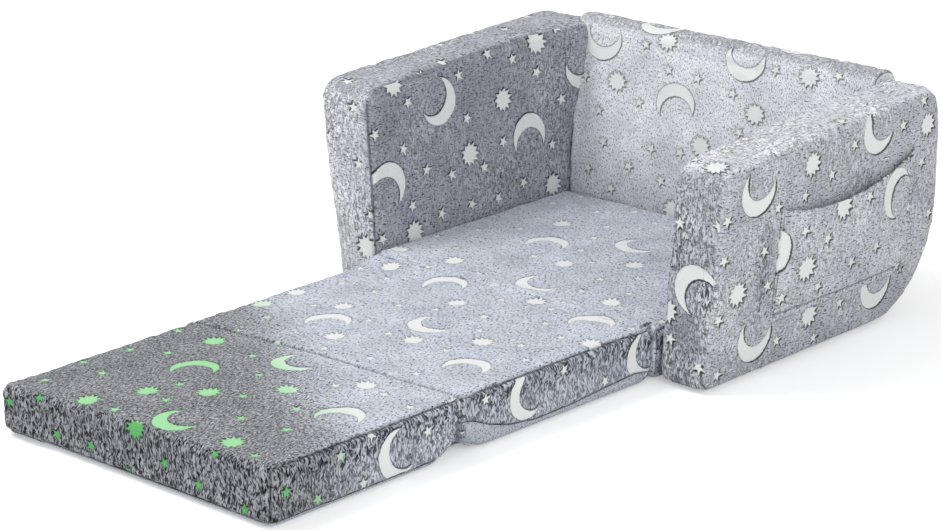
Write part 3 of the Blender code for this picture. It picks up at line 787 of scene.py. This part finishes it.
print("panels are", panel_shift, "m apart on the nap's noise")

# %% [markdown]
# ## Tufts, seams and creases
# The skin of a body is moved along its normals: in at a seam, where the thread pulls the foam down,
# out beside it in a soft roll, up and down in small puckers across the seam, and everywhere in tufts
# that grow larger where the pile is ruffled. The print lies in the pile, so it's pressed in a little.

# %% The skin of a plush body
seam_depth = 0.0022
seam_half_width = 0.0024
roll_height = 0.0009
roll_place = 0.0060
roll_half_width = 0.0035
pucker_size = 0.0085
pucker_height = 0.0008
pucker_fade = 0.016
print_dip = 0.0008
edge_radius = 0.010
edge_run = 1.2  # an edge's curve is longer than its radius
tuft_warp_size = 0.010
tuft_size = (0.0042, 0.0048, 0.0052)
clump_size = (0.0062, 0.0070, 0.0095)


def seam_profile(distance):
    """How far a seam moves the skin at a distance from it."""
    groove = -seam_depth * np.exp(-(distance / seam_half_width) ** 2)
    roll = roll_height * np.exp(-((np.abs(distance) - roll_place) / roll_half_width) ** 2)
    return groove + roll


def tufts(co, curl, seed):
    """Tufts from 1 mm in smooth plush to 2 mm in ruffled plush."""
    warp = np.column_stack([ruffle(co / tuft_warp_size, seed + n) for n in range(3)]) - 0.5
    fine = ruffle((co + warp * 0.004) / np.array(tuft_size), seed + 3) - 0.5
    clumps = ruffle((co + warp * 0.010) / np.array(clump_size), seed + 4) - 0.5
    return fine * (0.0007 + 0.0006 * curl) + clumps * (0.0005 + 0.0014 * curl)


def crease(co, start, end, height, width):
    """A ridge, or with a negative height a crease, along a line that fades out at its ends."""
    a, b = np.array(start), np.array(end)
    along = np.clip(((co - a) @ (b - a)) / ((b - a) @ (b - a)), 0, 1)
    away = np.linalg.norm(co - a - along[:, None] * (b - a), axis=1)
    return height * np.exp(-(away / width) ** 2) * np.sin(math.pi * np.clip(along, 0.04, 0.96))


print("skin helpers ready")

# %% The dressing of a body
under_tuck = 0.0024
under_shade = 0.25
calm_half_width = 0.0016
calm_share = 0.8
seam_hidden = 0.02  # a distance at which a seam no longer shows


def dress(piece, form, prints, lean, seed, base_seam, looks, creases=(), reshape=None, seams=None, size=1.0):
    """Gives a plush body its seams, creases, tufts, print and attributes."""
    co, no = places(piece), normals(piece)
    panel = panel_of(no, form)
    flat = cloth_place(co, no, form)
    lay_cloth(piece, co, no, form, prints, lean, size)
    if reshape:
        co = reshape(co.copy(), no)
        set_places(piece, co)
        no = normals(piece)
    found, shapes = nearest_shape(flat, panel, prints, size)
    inside = soft_step(print_depth(flat, found, shapes, size), -0.001, 0.001)
    tilt = np.arcsin(np.clip(np.abs(no[:, 0]), 0, 1)) - math.pi / 4
    loop = tilt * edge_radius * edge_run
    if seams:
        loop = seams(co, no, loop)
    foot = co[:, 2] - base_seam(co)
    seam = np.where(np.abs(foot) < np.abs(loop), foot, loop)
    below = 1 - soft_step(foot, -0.0020, 0.0)
    curl, tone_and_shade, dusk = looks(co, no)
    puckers = (ruffle(co / pucker_size, seed + 9) - 0.5) * 2 * pucker_height
    puckers = puckers * np.exp(-(seam / pucker_fade) ** 2)
    free = (1 - inside) * (1 - calm_share * np.exp(-(seam / calm_half_width) ** 2)) * (1 - below)
    skin = seam_profile(seam) + puckers + tufts(co, curl, seed) * free
    move = skin - print_dip * inside - under_tuck * below
    for start, end, height, width in creases:
        move = move + crease(co, start, end, height, width)
    note(piece, "curl", curl)
    # The tone holds painted light and shade, and below the seam it gets painted shade.
    note(piece, "tone_and_shade", tone_and_shade * (1 - under_shade * below))
    note(piece, "dusk", dusk)
    note(piece, "seam", np.clip(seam, -seam_hidden, seam_hidden))
    set_places(piece, co + no * move[:, None])
    piece.data.shade_smooth()


print("hidden below the seam, the plush lies", under_tuck, "m deeper")

# %% Under the zips' tapes
tape_clearance = 0.0004
tape_margin = 0.0026
tape_search = 0.008


def tuck_under_tape(piece, node, outward):
    """Presses the plush down where a zip's tape is sewn on, so that the tape lies on top of it."""
    bm = bmesh.new()
    bm.from_mesh(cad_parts[node].data)
    tape = BVHTree.FromBMesh(bm)
    bm.free()
    co = places(piece)
    low, high = (np.array(corner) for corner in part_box(node))
    near = np.all((co > low - tape_search) & (co < high + tape_search), axis=1)
    way, up = Vector(outward), Vector((0, 0, 1))
    sideways = way.cross(up)
    steps = (Vector(), up * tape_margin, -up * tape_margin, sideways * tape_margin, -sideways * tape_margin)
    pressed = 0
    for index in np.flatnonzero(near):
        point = Vector(co[index])
        hits = (tape.ray_cast(point + step - way * tape_search, way, 2 * tape_search)[0] for step in steps)
        rooms = [(hit - point).dot(way) - tape_clearance for hit in hits if hit]
        if rooms and min(rooms) < 0:
            co[index] += np.array(way) * min(rooms)
            pressed += 1
    set_places(piece, co)
    print(piece.name, "tucked under", node, pressed, "points")


print("the plush ends", tape_clearance, "m under a tape")


# %% What every finished piece gets
def finish_piece(piece, body, material, slot, *nodes):
    """Gives a piece its material and its body, and hides the CAD nodes that it stands for.

    A hinge gets no body here, because it bends between two.
    """
    piece.data.materials.clear()
    piece.data.materials.append(material)
    if body:
        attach(piece, body)
    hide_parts(*nodes)


print("finishing helper ready")

# %% [markdown]
# ## Base panels
# Under each block the cover is closed by a panel of short base fabric that turns up at the foot of
# the sides. On the middle pad the cutter let it rise in a wave along the near side. It's the lower
# part of the grown block: the faces below the seam are kept, their rim is snapped to the seam's
# height, and a Solidify modifier gives the cloth its thickness, inwards.

# %% A base panel
panel_growth = 0.0022
panel_voxel = 0.0042
panel_rounds = 3
panel_thickness = 0.0012


def base_panel(node, name, base_seam):
    """The cloth under a block, up to its base seam."""
    piece = copy_of(node, name)
    apply_modifier(piece, "DISPLACE", strength=panel_growth, mid_level=0.0)
    apply_modifier(piece, "REMESH", mode="VOXEL", voxel_size=panel_voxel)
    apply_modifier(piece, "SMOOTH", factor=0.5, iterations=panel_rounds)
    bm = bmesh.new()
    bm.from_mesh(piece.data)
    centres = np.array([f.calc_center_median() for f in bm.faces])
    above = centres[:, 2] > base_seam(centres)
    bmesh.ops.delete(bm, geom=[f for f, gone in zip(bm.faces, above) if gone], context="FACES")
    roots_and_shadow_rim = [v for v in bm.verts if v.is_boundary]
    heights = base_seam(np.array([v.co for v in roots_and_shadow_rim]))
    for vert, height in zip(roots_and_shadow_rim, heights):
        vert.co.z = height
    bm.to_mesh(piece.data)
    bm.free()
    apply_modifier(piece, "SOLIDIFY", thickness=panel_thickness, offset=-1.0)
    co = places(piece)
    lowest = co[:, 2].min()
    co[:, 2] = np.maximum(co[:, 2], 0.0)
    set_places(piece, co)
    piece.data.shade_smooth()
    print(name, "lowest", round(lowest, 5), len(piece.data.polygons), "faces")
    return piece


def level(height):
    """A seam at one height all round."""
    return lambda co: np.full(len(co), height)


def declare_panel(piece):
    """Says how large the cloth of a base panel was cut: its foot and what turns up round it."""
    size = np.ptp(places(piece), axis=0)
    print(piece.name, "was cut from", np.round(size[:2] + size[2], 3))


def sew_up(piece, named, body, material, slot, base_seam):
    """Finishes a plush body and closes its cover below with a base panel, whose cut size it prints. named
    gives its nodes.
    """
    finish_piece(piece, body, material, slot, named("cover"), named("foam"))
    base = base_panel(named("foam"), named("base"), base_seam)
    finish_piece(base, body, base_cloth, "base_fabric", named("base_panel"))
    declare_panel(base)
    return base


low_foot = level(0.010)
arm_foot = level(0.003)
no_foot = level(-1.0)
print("base panels are", panel_thickness, "m thick")

# %% [markdown]
# ## The mattress pads
# Three pads of the same foam. The print runs on over all three, and so do the nap's coordinates, as
# the panels were cut from one length. The foot end is dressed as it looks in the dark, where the pile
# is nearly black and the print glows.

# %% How the mattress looks
glow_start = (-0.19, -0.16)
glow_end = (0.20, -0.42)
glow_softness = 0.075


def dusk_at(co):
    """0 in the light and 1 in the dark, across a slanting line over the front pad."""
    (x0, y0), (x1, y1) = glow_start, glow_end
    line = y0 + (co[:, 0] - x0) * (y1 - y0) / (x1 - x0)
    return 1 - soft_step(co[:, 1], line - glow_softness, line + glow_softness)


def mattress_looks(co, no):
    """Curl, tone and dusk: smooth on top, ruffled and darker on the front and the sides."""
    front = soft_step(-no[:, 1], 0.35, 0.8) * (co[:, 1] < -0.45)
    side = soft_step(np.abs(no[:, 0]), 0.5, 0.8)
    top_edge = np.exp(-((co[:, 2] - 0.055) / 0.014) ** 2) * (1 - soft_step(no[:, 2], 0.75, 0.98))
    curl = np.clip(0.10 + 0.9 * front + 0.60 * side + 0.4 * top_edge, 0, 1)
    patch = ruffle(co / 0.045, 31) - 0.5
    dusk = dusk_at(co)
    by_dusk = (0.04 + 0.08 * front + 0.16 * side) * dusk
    tone_and_shade = 1.11 - 0.13 * front - 0.04 * side - 0.16 * top_edge * (1 - front) - by_dusk + 0.24 * patch
    return np.clip(curl + 0.15 * dusk + 0.25 * patch, 0, 1), tone_and_shade, dusk


print("the dark begins along a line from", glow_start, "to", glow_end)

# %% How the pads lie and meet
fold_fill_power = 10.0
fold_overlap = 0.0008
plan_radius = 0.014
far_slump = 0.0090
near_lift = 0.0020
corner_reach = 0.0045


def settle(co):
    """Slumps the pads' far top edge, lifts their near edge a little and draws out the far front corner."""
    high = co[:, 2] / pad_top * (1 - soft_step(co[:, 1], 0.0, 0.070))
    far, near = np.clip(-co[:, 0] / 0.20, 0, 1), soft_step(co[:, 0], 0.10, 0.19)
    co[:, 2] += high * (near_lift * near - far_slump * far)
    corner = soft_step(-co[:, 0], 0.10, 0.20) * soft_step(-co[:, 1], 0.468, 0.507)
    co[:, 0] -= corner_reach * corner
    co[:, 1] -= corner_reach * corner
    return co


def squared(first, second, radius):
    """How far to push a point of a rounded edge, from its depths behind two faces, to square the edge off."""
    a, b = np.clip(radius - first, 0, radius), np.clip(radius - second, 0, radius)
    angle = np.arctan2(b, a)
    stretch = np.abs(np.cos(angle)) ** fold_fill_power + np.abs(np.sin(angle)) ** fold_fill_power
    stretch = np.where((a > 0) & (b > 0), stretch ** (-1 / fold_fill_power) - 1, 0.0)
    return a * stretch, b * stretch


def meet_at_folds(y_ends, top):
    """Squares off a pad's rounded edges where it meets the next one, so that the pile closes the gap."""

    def reshape(co, no):
        moved = co.copy()
        for end, inwards in y_ends:
            away = (co[:, 1] - end) * inwards
            by_end = (away > 2 * edge_radius) & (away < 3 * edge_radius)
            middle = (co[by_end, 0].max() + co[by_end, 0].min()) / 2
            half = (co[by_end, 0].max() - co[by_end, 0].min()) / 2
            push_y, push_z = squared(away, top - co[:, 2], edge_radius)
            moved[:, 1] -= inwards * push_y
            moved[:, 2] += push_z
            side = co[:, 0] - middle
            push_y, push_x = squared(away, half - np.abs(side), plan_radius)
            moved[:, 1] -= inwards * push_y
            moved[:, 0] += np.sign(side) * push_x
            moved[:, 1] -= inwards * fold_overlap * (1 - soft_step(away, 0.0, edge_radius))
        return settle(moved)

    return reshape


print("the far edge slumps by up to", far_slump, "m")


# %% The seams at the pads' feet
# The wave along the near side, given as places along the pad and the seam's height at each.
wave_y = (-0.238, -0.219, -0.190, -0.162, -0.119, -0.059, -0.007, 0.043, 0.070)
wave_z = (0.038, 0.035, 0.023, 0.0150, 0.0095, 0.0105, 0.0146, 0.0172, 0.0125)


def middle_foot(co):
    """The middle pad's base seam, which rises in a wave along the near side."""
    near = soft_step(co[:, 0], 0.150, 0.185)
    plain = 0.010 + 0.020 * soft_step(-co[:, 1], 0.195, 0.235)
    return plain + near * (np.interp(co[:, 1], wave_y, wave_z) - plain)


def front_foot(co):
    """The front pad's base seam, low all round and high at the fold."""
    return 0.006 + 0.026 * soft_step(co[:, 1], -0.275, -0.238)


print("the wave of the middle pad's seam is up to", max(wave_z), "m high")

# %% One pad of the mattress
mattress_prints = [
    ((STRIP, UNDER), mattress_print), ((SIDE_RIGHT,), near_side_print), ((SIDE_LEFT,), far_side_print),
]
mattress_lean = (-0.4, 0.9)
mattress_print_size = 0.90
pads, bases = {}, {}


def make_pad(word, body, seed, base_seam, creases, folds, zipped):
    """Makes a pad's plush body and its base panel. folds are the ends at which it meets another pad."""
    named = (word + "_{}").format
    low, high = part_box(named("cover"))
    ends = {"front": (low.y, 1), "rear": (high.y, -1)}
    piece = plush_blank(named("foam"), named("plush"))
    dress(
        piece, "pad", mattress_prints, mattress_lean, seed, base_seam, mattress_looks, creases,
        meet_at_folds([ends[fold] for fold in folds], high.z), size=mattress_print_size,
    )
    if zipped:
        tuck_under_tape(piece, named("zip_tape"), (-1, 0, 0))
    bases[word] = sew_up(piece, named, body, mattress_plush, "mattress_plush", base_seam)
    pads[word] = piece


# %% Front pad
# Each ridge or crease runs from one place to another and has a height and a width.
front_creases = (
    ((0.10, -0.509, 0.053), (0.195, -0.494, 0.066), 0.0022, 0.010),
    ((-0.19, -0.505, 0.062), (-0.02, -0.507, 0.067), 0.0012, 0.008),
    ((0.187, -0.502, 0.010), (0.187, -0.502, 0.058), 0.0015, 0.008),
    ((0.150, -0.295, 0.067), (0.197, -0.255, 0.060), -0.0015, 0.012),
)
make_pad("front", "front_pad", 101, front_foot, front_creases, ["rear"], True)

# %% Middle pad
middle_creases = (
    ((0.142, -0.219, 0.067), (0.197, -0.184, 0.064), 0.0016, 0.012),
    ((0.199, -0.194, 0.058), (0.205, 0.046, 0.058), 0.0014, 0.006),
    ((0.200, -0.174, 0.030), (0.204, -0.014, 0.042), -0.0016, 0.012),
    ((0.132, 0.016, 0.067), (0.202, 0.056, 0.067), 0.0018, 0.010),
    ((0.112, 0.051, 0.067), (0.192, 0.026, 0.067), -0.0014, 0.008),
)
make_pad("middle", "middle_pad", 102, middle_foot, middle_creases, ["front", "rear"], True)

# %% Seat pad
seat_creases = (
    ((0.122, 0.091, 0.067), (0.205, 0.126, 0.067), 0.0016, 0.012),
    ((-0.20, 0.106, 0.067), (-0.13, 0.091, 0.067), -0.0012, 0.010),
)
make_pad("seat", "frame", 103, low_foot, seat_creases, ["front"], False)

# %% [markdown]
# ## The two fabric hinges
# The strip over the rear fold is of the same plush, and the print runs on over it. The web under the
# front fold is base fabric. Each is cut so fine that it bends smoothly round its fold.

# %% The rear hinge, of plush
hinge_growth = 0.0009
hinge_voxel = 0.0016
thin_rounds = 3
hinge_edge = 0.009
hinge_sink = 0.0018
rear_low, rear_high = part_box("rear_hinge_strip")


def lay_strip(co, no):
    """Presses the strip's two sewn edges into the pads' pile."""
    edge = np.minimum(co[:, 1] - rear_low.y, rear_high.y - co[:, 1])
    co[:, 2] -= hinge_sink * (1 - soft_step(edge, 0.0, hinge_edge))
    return co


def no_seams(co, no, loop):
    """No seam shows anywhere."""
    return np.full(len(co), seam_hidden)


rear_hinge = plush_blank("rear_hinge_strip", "rear_hinge_plush", hinge_growth, hinge_voxel, thin_rounds)
dress(
    rear_hinge, "pad", mattress_prints, mattress_lean, 107, no_foot, mattress_looks,
    reshape=lay_strip, seams=no_seams, size=mattress_print_size,
)
finish_piece(rear_hinge, None, mattress_plush, "mattress_plush", "rear_hinge_strip")
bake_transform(rear_hinge)

# %% The front hinge, of base fabric
front_hinge = copy_of("front_hinge_strip", "front_hinge_web")
apply_modifier(front_hinge, "SUBSURF", subdivision_type="SIMPLE", levels=2)
alone(front_hinge)
bpy.ops.object.shade_smooth_by_angle(angle=math.radians(40))
finish_piece(front_hinge, None, base_cloth, "base_fabric", "front_hinge_strip")
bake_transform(front_hinge)
print("front_hinge_web", len(front_hinge.data.polygons), "faces")

# %% [markdown]
# ## Arms and backrest
# Upright blocks of the same make. The arms' fronts and tops are one strip with curly pile, and their
# faces are brushed smooth. The left arm's inner face is painted darker, as shade, and is the darkest plush
# above the mattress, and the backrest is the palest. Each look gives the pile's curl from 0, smooth,
# to 1, ruffled, its tone with painted light and shade, where 1 is the cloth's own brightness, and no dusk.


# %% How the left arm looks
def left_arm_looks(co, no):
    """Curly and bright outside and on the front, darker on top, and darkest on the brushed inner face, where
    shade is painted.
    """
    inner = soft_step(no[:, 0], 0.45, 0.85)
    outer = soft_step(-no[:, 0], 0.45, 0.85)
    patch = ruffle(co / 0.050, 32) - 0.5
    curl = 0.50 - 0.10 * inner - 0.15 * outer + 0.5 * patch
    low = 1 - soft_step(co[:, 2], 0.02, 0.14)
    top = soft_step(no[:, 2], 0.3, 0.9)
    # The inner face is painted darker, as shade.
    tone_and_shade = 1.16 - 0.53 * inner + 0.10 * low * inner - 0.05 * outer - 0.33 * top + 0.26 * patch
    return np.clip(curl, 0, 1), tone_and_shade, 0.0


print("left arm's look ready")


# %% How the right arm looks
def right_arm_looks(co, no):
    """Curly in front with two painted shadows and a painted highlight, smoother outside, darker by the
    pocket, with painted shade over its mouth and at the foot.
    """
    outer = soft_step(no[:, 0], 0.45, 0.85)
    inner = soft_step(-no[:, 0], 0.45, 0.85)
    front = soft_step(-no[:, 1], 0.5, 0.9) * (1 - outer)
    patch = ruffle(co / 0.040, 33) - 0.5
    top = soft_step(no[:, 2], 0.3, 0.9)
    curl = 0.68 - 0.36 * outer * (1 - top) - 0.2 * inner - 0.35 * top + 0.6 * patch
    tone_and_shade = 1.08 - 0.12 * front - 0.24 * outer * (1 - top) - 0.10 * inner + 0.12 * top
    tone_and_shade += (0.40 + 0.14 * front) * patch
    x, y, z = co.T
    # Two painted shadows on the front, and a painted highlight along its inner edge.
    painted_shadows = bump_at(x, 0.245, 0.020) * (bump_at(z, 0.155, 0.038) + 0.9 * bump_at(z, 0.062, 0.030))
    tone_and_shade += front * (0.24 * bump_at(x, 0.212, 0.010) - 0.26 * painted_shadows)
    by_pocket = bump_at(y, 0.157, 0.011) * bump_at(z, 0.125, 0.055)
    # Painted shade over the pocket's mouth, under the top roll.
    shade_over_mouth = bump_at(y, 0.30, 0.07) * bump_at(z, 0.182, 0.016)
    tone_and_shade += outer * (0.05 - 0.22 * by_pocket - 0.10 * shade_over_mouth)
    # Painted shade towards the foot, outside and in front.
    tone_and_shade -= (0.16 * outer + 0.14 * front) * (1 - soft_step(z, 0.005, 0.055))
    return np.clip(curl + 0.5 * outer * by_pocket, 0, 1), tone_and_shade, 0.0


print("right arm's look ready")


# %% How the backrest looks
def back_looks(co, no):
    """Smooth and pale, darker low down and on its ruffled top."""
    patch = ruffle(co / 0.060, 34) - 0.5
    low = 1 - soft_step(co[:, 2], 0.06, 0.15)
    top = soft_step(no[:, 2], 0.3, 0.9)
    tone_and_shade = 1.27 - 0.26 * low - 0.26 * top + 0.10 * patch
    return np.clip(0.10 + 0.5 * top + 0.2 * patch, 0, 1), tone_and_shade, 0.0


print("backrest's look ready")

# %% Left arm
arm_rounds = 36
upright_lean = (0.75, -0.65)
left_lean = (-0.65, 0.70)
edge_bulge = 0.010
corner_lean, corner_rise = 0.030, 0.003


def left_arm_shape(co, no):
    """The left arm's front outer edge bulges, and its rear top leans in over the backrest's corner."""
    x, y, z = co.T.copy()
    edge = soft_step(-x, 0.25, 0.305) * (1 - soft_step(y, 0.10, 0.25))
    co[:, 0] -= edge_bulge * edge * soft_step(z, 0.03, 0.17)
    lean_in = soft_step(y, 0.36, 0.46) * soft_step(z, 0.10, 0.27) * soft_step(x, -0.27, -0.22)
    co[:, 0] += corner_lean * lean_in
    co[:, 2] += corner_rise * lean_in
    return co


def left_arm_seams(co, no, loop):
    """Only the front's inner seam shows. Along the top the long pile hides it."""
    return np.where((no[:, 2] > 0.25) | (no[:, 0] < -0.1), seam_hidden, loop)


left_arm = plush_blank("arm_foam_left", "arm_plush_left", rounds=arm_rounds)
left_prints = [
    ((SIDE_RIGHT,), left_inner_print), ((SIDE_LEFT,), left_outer_print), ((STRIP,), left_strip_print),
]
left_creases = (
    ((-0.220, 0.081, 0.240), (-0.208, 0.136, 0.265), 0.0018, 0.010),
    ((-0.214, 0.39, 0.09), (-0.214, 0.42, 0.20), -0.0016, 0.010),
)
dress(
    left_arm, upright("arm_cover_left"), left_prints, left_lean, 104, arm_foot, left_arm_looks,
    left_creases, left_arm_shape, left_arm_seams,
)
sew_up(left_arm, "arm_{}_left".format, "frame", arm_plush, "plush", arm_foot)

# %% Right arm
rear_top_round, heel_round = 0.009, 0.004


def right_arm_shape(co, no):
    """The right arm's rear rounds in more at its top and at its heel than the foam does."""
    rear = soft_step(co[:, 1], 0.44, 0.503)
    co[:, 1] -= rear_top_round * rear * soft_step(co[:, 2], 0.22, 0.275)
    co[:, 1] -= heel_round * soft_step(co[:, 1], 0.38, 0.46) * (1 - soft_step(co[:, 2], 0.05, 0.13))
    return co


def right_arm_seams(co, no, loop):
    """The long pile hides the seam round the outer side."""
    return np.where(no[:, 0] > 0.1, seam_hidden, loop)


right_arm = plush_blank("arm_foam_right", "arm_plush_right", rounds=arm_rounds)
right_prints = [
    ((SIDE_RIGHT,), right_outer_print), ((SIDE_LEFT,), right_inner_print), ((STRIP,), right_strip_print),
]
right_creases = (
    ((0.227, 0.072, 0.210), (0.287, 0.078, 0.195), -0.0016, 0.009),
    ((0.296, 0.171, 0.264), (0.296, 0.31, 0.270), 0.0014, 0.012),
    ((0.293, 0.156, 0.224), (0.293, 0.106, 0.182), -0.0014, 0.014),
)
dress(
    right_arm, upright("arm_cover_right"), right_prints, upright_lean, 105, arm_foot, right_arm_looks,
    right_creases, right_arm_shape, right_arm_seams,
)
sew_up(right_arm, "arm_{}_right".format, "frame", arm_plush, "plush", arm_foot)

# %% [markdown]
# ## The side pocket
# A patch of the arm's plush, sewn on along its front, its bottom and its rear. The stitching lies a
# finger's width inside the edge, in a groove of its own, and the edges are pressed flat on the arm.
# The mouth sags and gapes a little, because the cloth is held on the other three sides only.

# %% Side pocket
pocket_growth = 0.0012
pocket_voxel = 0.0020
stitch_inset = 0.008
front_stitch_inset = 0.0015
pocket_press = 0.0022
pressed_width = 0.011
mouth_lift = 0.009
mouth_close = 0.003
mouth_drop = 0.11
pocket_low, pocket_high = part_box("side_pocket")


def pocket_seams(co, no, loop):
    """Distances from the stitch lines along the rear and the bottom and from the front edge."""
    y, z = co[:, 1], co[:, 2]
    lines = np.stack([
        y - pocket_low.y - front_stitch_inset, pocket_high.y - stitch_inset - y,
        z - pocket_low.z - stitch_inset,
    ])
    nearest = np.abs(lines).argmin(axis=0)
    return np.where(no[:, 0] > 0.2, lines[nearest, np.arange(len(co))], seam_hidden)


def press_pocket(co, no):
    """Presses the pocket's sewn edges flat on the arm, and lifts and closes its mouth a little."""
    edges = [co[:, 1] - pocket_low.y, pocket_high.y - co[:, 1], co[:, 2] - pocket_low.z]
    edge = np.minimum.reduce(edges)
    co[:, 0] -= pocket_press * (1 - soft_step(edge, 0.0, pressed_width)) * (no[:, 0] > 0)
    along = (co[:, 1] - pocket_low.y) / (pocket_high.y - pocket_low.y)
    up = np.clip((co[:, 2] - pocket_low.z) / mouth_drop, 0, 1)
    slack = np.sin(math.pi * np.clip(along, 0, 1)) * up ** 2
    co[:, 2] += mouth_lift * slack
    co[:, 0] -= mouth_close * slack
    return co


def pocket_looks(co, no):
    """Fairly smooth, with a more ruffled hem at the mouth."""
    patch = ruffle(co / 0.040, 35) - 0.5
    hem = soft_step(no[:, 2], 0.3, 0.8)
    return np.clip(0.28 + 0.4 * patch + 0.3 * hem, 0, 1), 0.97 + 0.16 * patch + 0.04 * hem, 0.0


pocket = plush_blank("side_pocket", "pocket_plush", pocket_growth, pocket_voxel, thin_rounds)
dress(
    pocket, "patch", [((SIDE_RIGHT,), pocket_print)], upright_lean, 108, no_foot, pocket_looks,
    reshape=press_pocket, seams=pocket_seams,
)
finish_piece(pocket, "frame", arm_plush, "plush", "side_pocket")

# %% [markdown]
# ## The backrest
# The backrest stands between the arms and is made as they are, of a paler plush whose dashes are
# short dots. Its zip runs across the rear, and the plush is pressed down under the zip's tape.

# %% Backrest
top_puff = 0.0022


def back_shape(co, no):
    """The backrest's top roll is puffed up a little."""
    co[:, 2] += top_puff * soft_step(co[:, 2], 0.22, 0.27)
    return co


backrest = plush_blank("back_foam", "back_plush")
back_prints = [((STRIP,), back_print + back_rear_print)]
back_creases = (
    ((-0.207, 0.425, 0.10), (-0.207, 0.445, 0.25), -0.0016, 0.010),
    ((0.197, 0.425, 0.10), (0.202, 0.445, 0.25), -0.0014, 0.010),
    ((-0.19, 0.448, 0.262), (0.17, 0.448, 0.258), -0.0016, 0.006),
)
dress(
    backrest, upright("back_cover"), back_prints, upright_lean, 106, low_foot, back_looks,
    back_creases, back_shape,
)
tuck_under_tape(backrest, "back_zip_tape", (0, 1, 0))
sew_up(backrest, "back_{}".format, "frame", back_plush, "plush", low_foot)

# %% [markdown]
# ## CAD pieces that stay
# The zips' metal and tapes have their right shapes already and only get their finishes.

# %% Finishes for the CAD's own pieces
zip_finishes = {"tape": tape_weave, "slider": satin_zinc, "pull": satin_zinc}
for word in ("back", "middle", "front"):
    for part, material in zip_finishes.items():
        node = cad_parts[f"{word}_zip_{part}"]
        node.data.materials.clear()
        node.data.materials.append(material)
print("finished the metal and the tapes of three zips")

# %% [markdown]
# ## Floor and light
# A pale floor keeps the sofa's soft shadow. The world is white to the camera and a plain studio grey
# to everything else, and two large lamps give the tops and the right sides their gentle modelling.


# %% Floor
floor_colour = (0.92, 0.92, 0.92, 1.0)
plain_white = (1.0, 1.0, 1.0, 1.0)
floor_lift = 0.35


def floor_finish():
    """A matt floor that the camera and reflections see a little lighter, so that it runs into white."""
    r = Recipe("floor")
    path = r.node("LightPath", output="Is Camera Ray")
    seen = path.math("MAXIMUM", path.other("Is Glossy Ray"))
    matt = r.node("BsdfDiffuse", None, {"Color": floor_colour})
    lift = r.node("Emission", None, {"Color": plain_white, "Strength": seen * floor_lift})
    both = r.node("AddShader", None, {0: matt, 1: lift})
    out = r.tree.nodes.new("ShaderNodeOutputMaterial")
    r.tree.links.new(both.socket, out.inputs["Surface"])
    return r.material


bpy.ops.mesh.primitive_plane_add(size=30.0, location=(0, 0, -0.0002))
floor = bpy.context.object
floor.name = "floor"
bpy.ops.object.transform_apply(location=True)
floor.data.materials.append(floor_finish())
print("floor ready")

# %% World
room_light = 0.55
backdrop_white = 1.0
world = bpy.data.worlds.new("studio")
bpy.context.scene.world = world
world.use_nodes = True
nodes, links = world.node_tree.nodes, world.node_tree.links
nodes.clear()
rays = nodes.new("ShaderNodeLightPath")
seen = nodes.new("ShaderNodeMath")
seen.operation = "MAXIMUM"
either, out = nodes.new("ShaderNodeMixShader"), nodes.new("ShaderNodeOutputWorld")
for slot, ray in enumerate(("Is Camera Ray", "Is Glossy Ray")):
    links.new(rays.outputs[ray], seen.inputs[slot])
for slot, strength in enumerate((room_light, backdrop_white), start=1):
    glow = nodes.new("ShaderNodeBackground")
    glow.inputs["Color"].default_value = plain_white
    glow.inputs["Strength"].default_value = strength
    links.new(glow.outputs[0], either.inputs[slot])
links.new(seen.outputs[0], either.inputs[0])
links.new(either.outputs[0], out.inputs["Surface"])
print("world: white to the camera,", room_light, "as light")

# %% Lamps
lamp_target = Vector((0, 0, 0.1))


def lamp(name, place, size, power):
    """A square lamp that faces the middle of the sofa."""
    bpy.ops.object.light_add(type="AREA", location=place)
    made = bpy.context.object
    made.name = name
    made.data.size = size
    made.data.energy = power
    made.rotation_mode = "QUATERNION"
    made.rotation_quaternion = (Vector(place) - lamp_target).to_track_quat("Z", "Y")


lamp("key", (-1.4, -1.0, 2.6), 1.6, 48)
lamp("fill", (2.6, -1.2, 1.4), 1.8, 31)
print("studio ready")
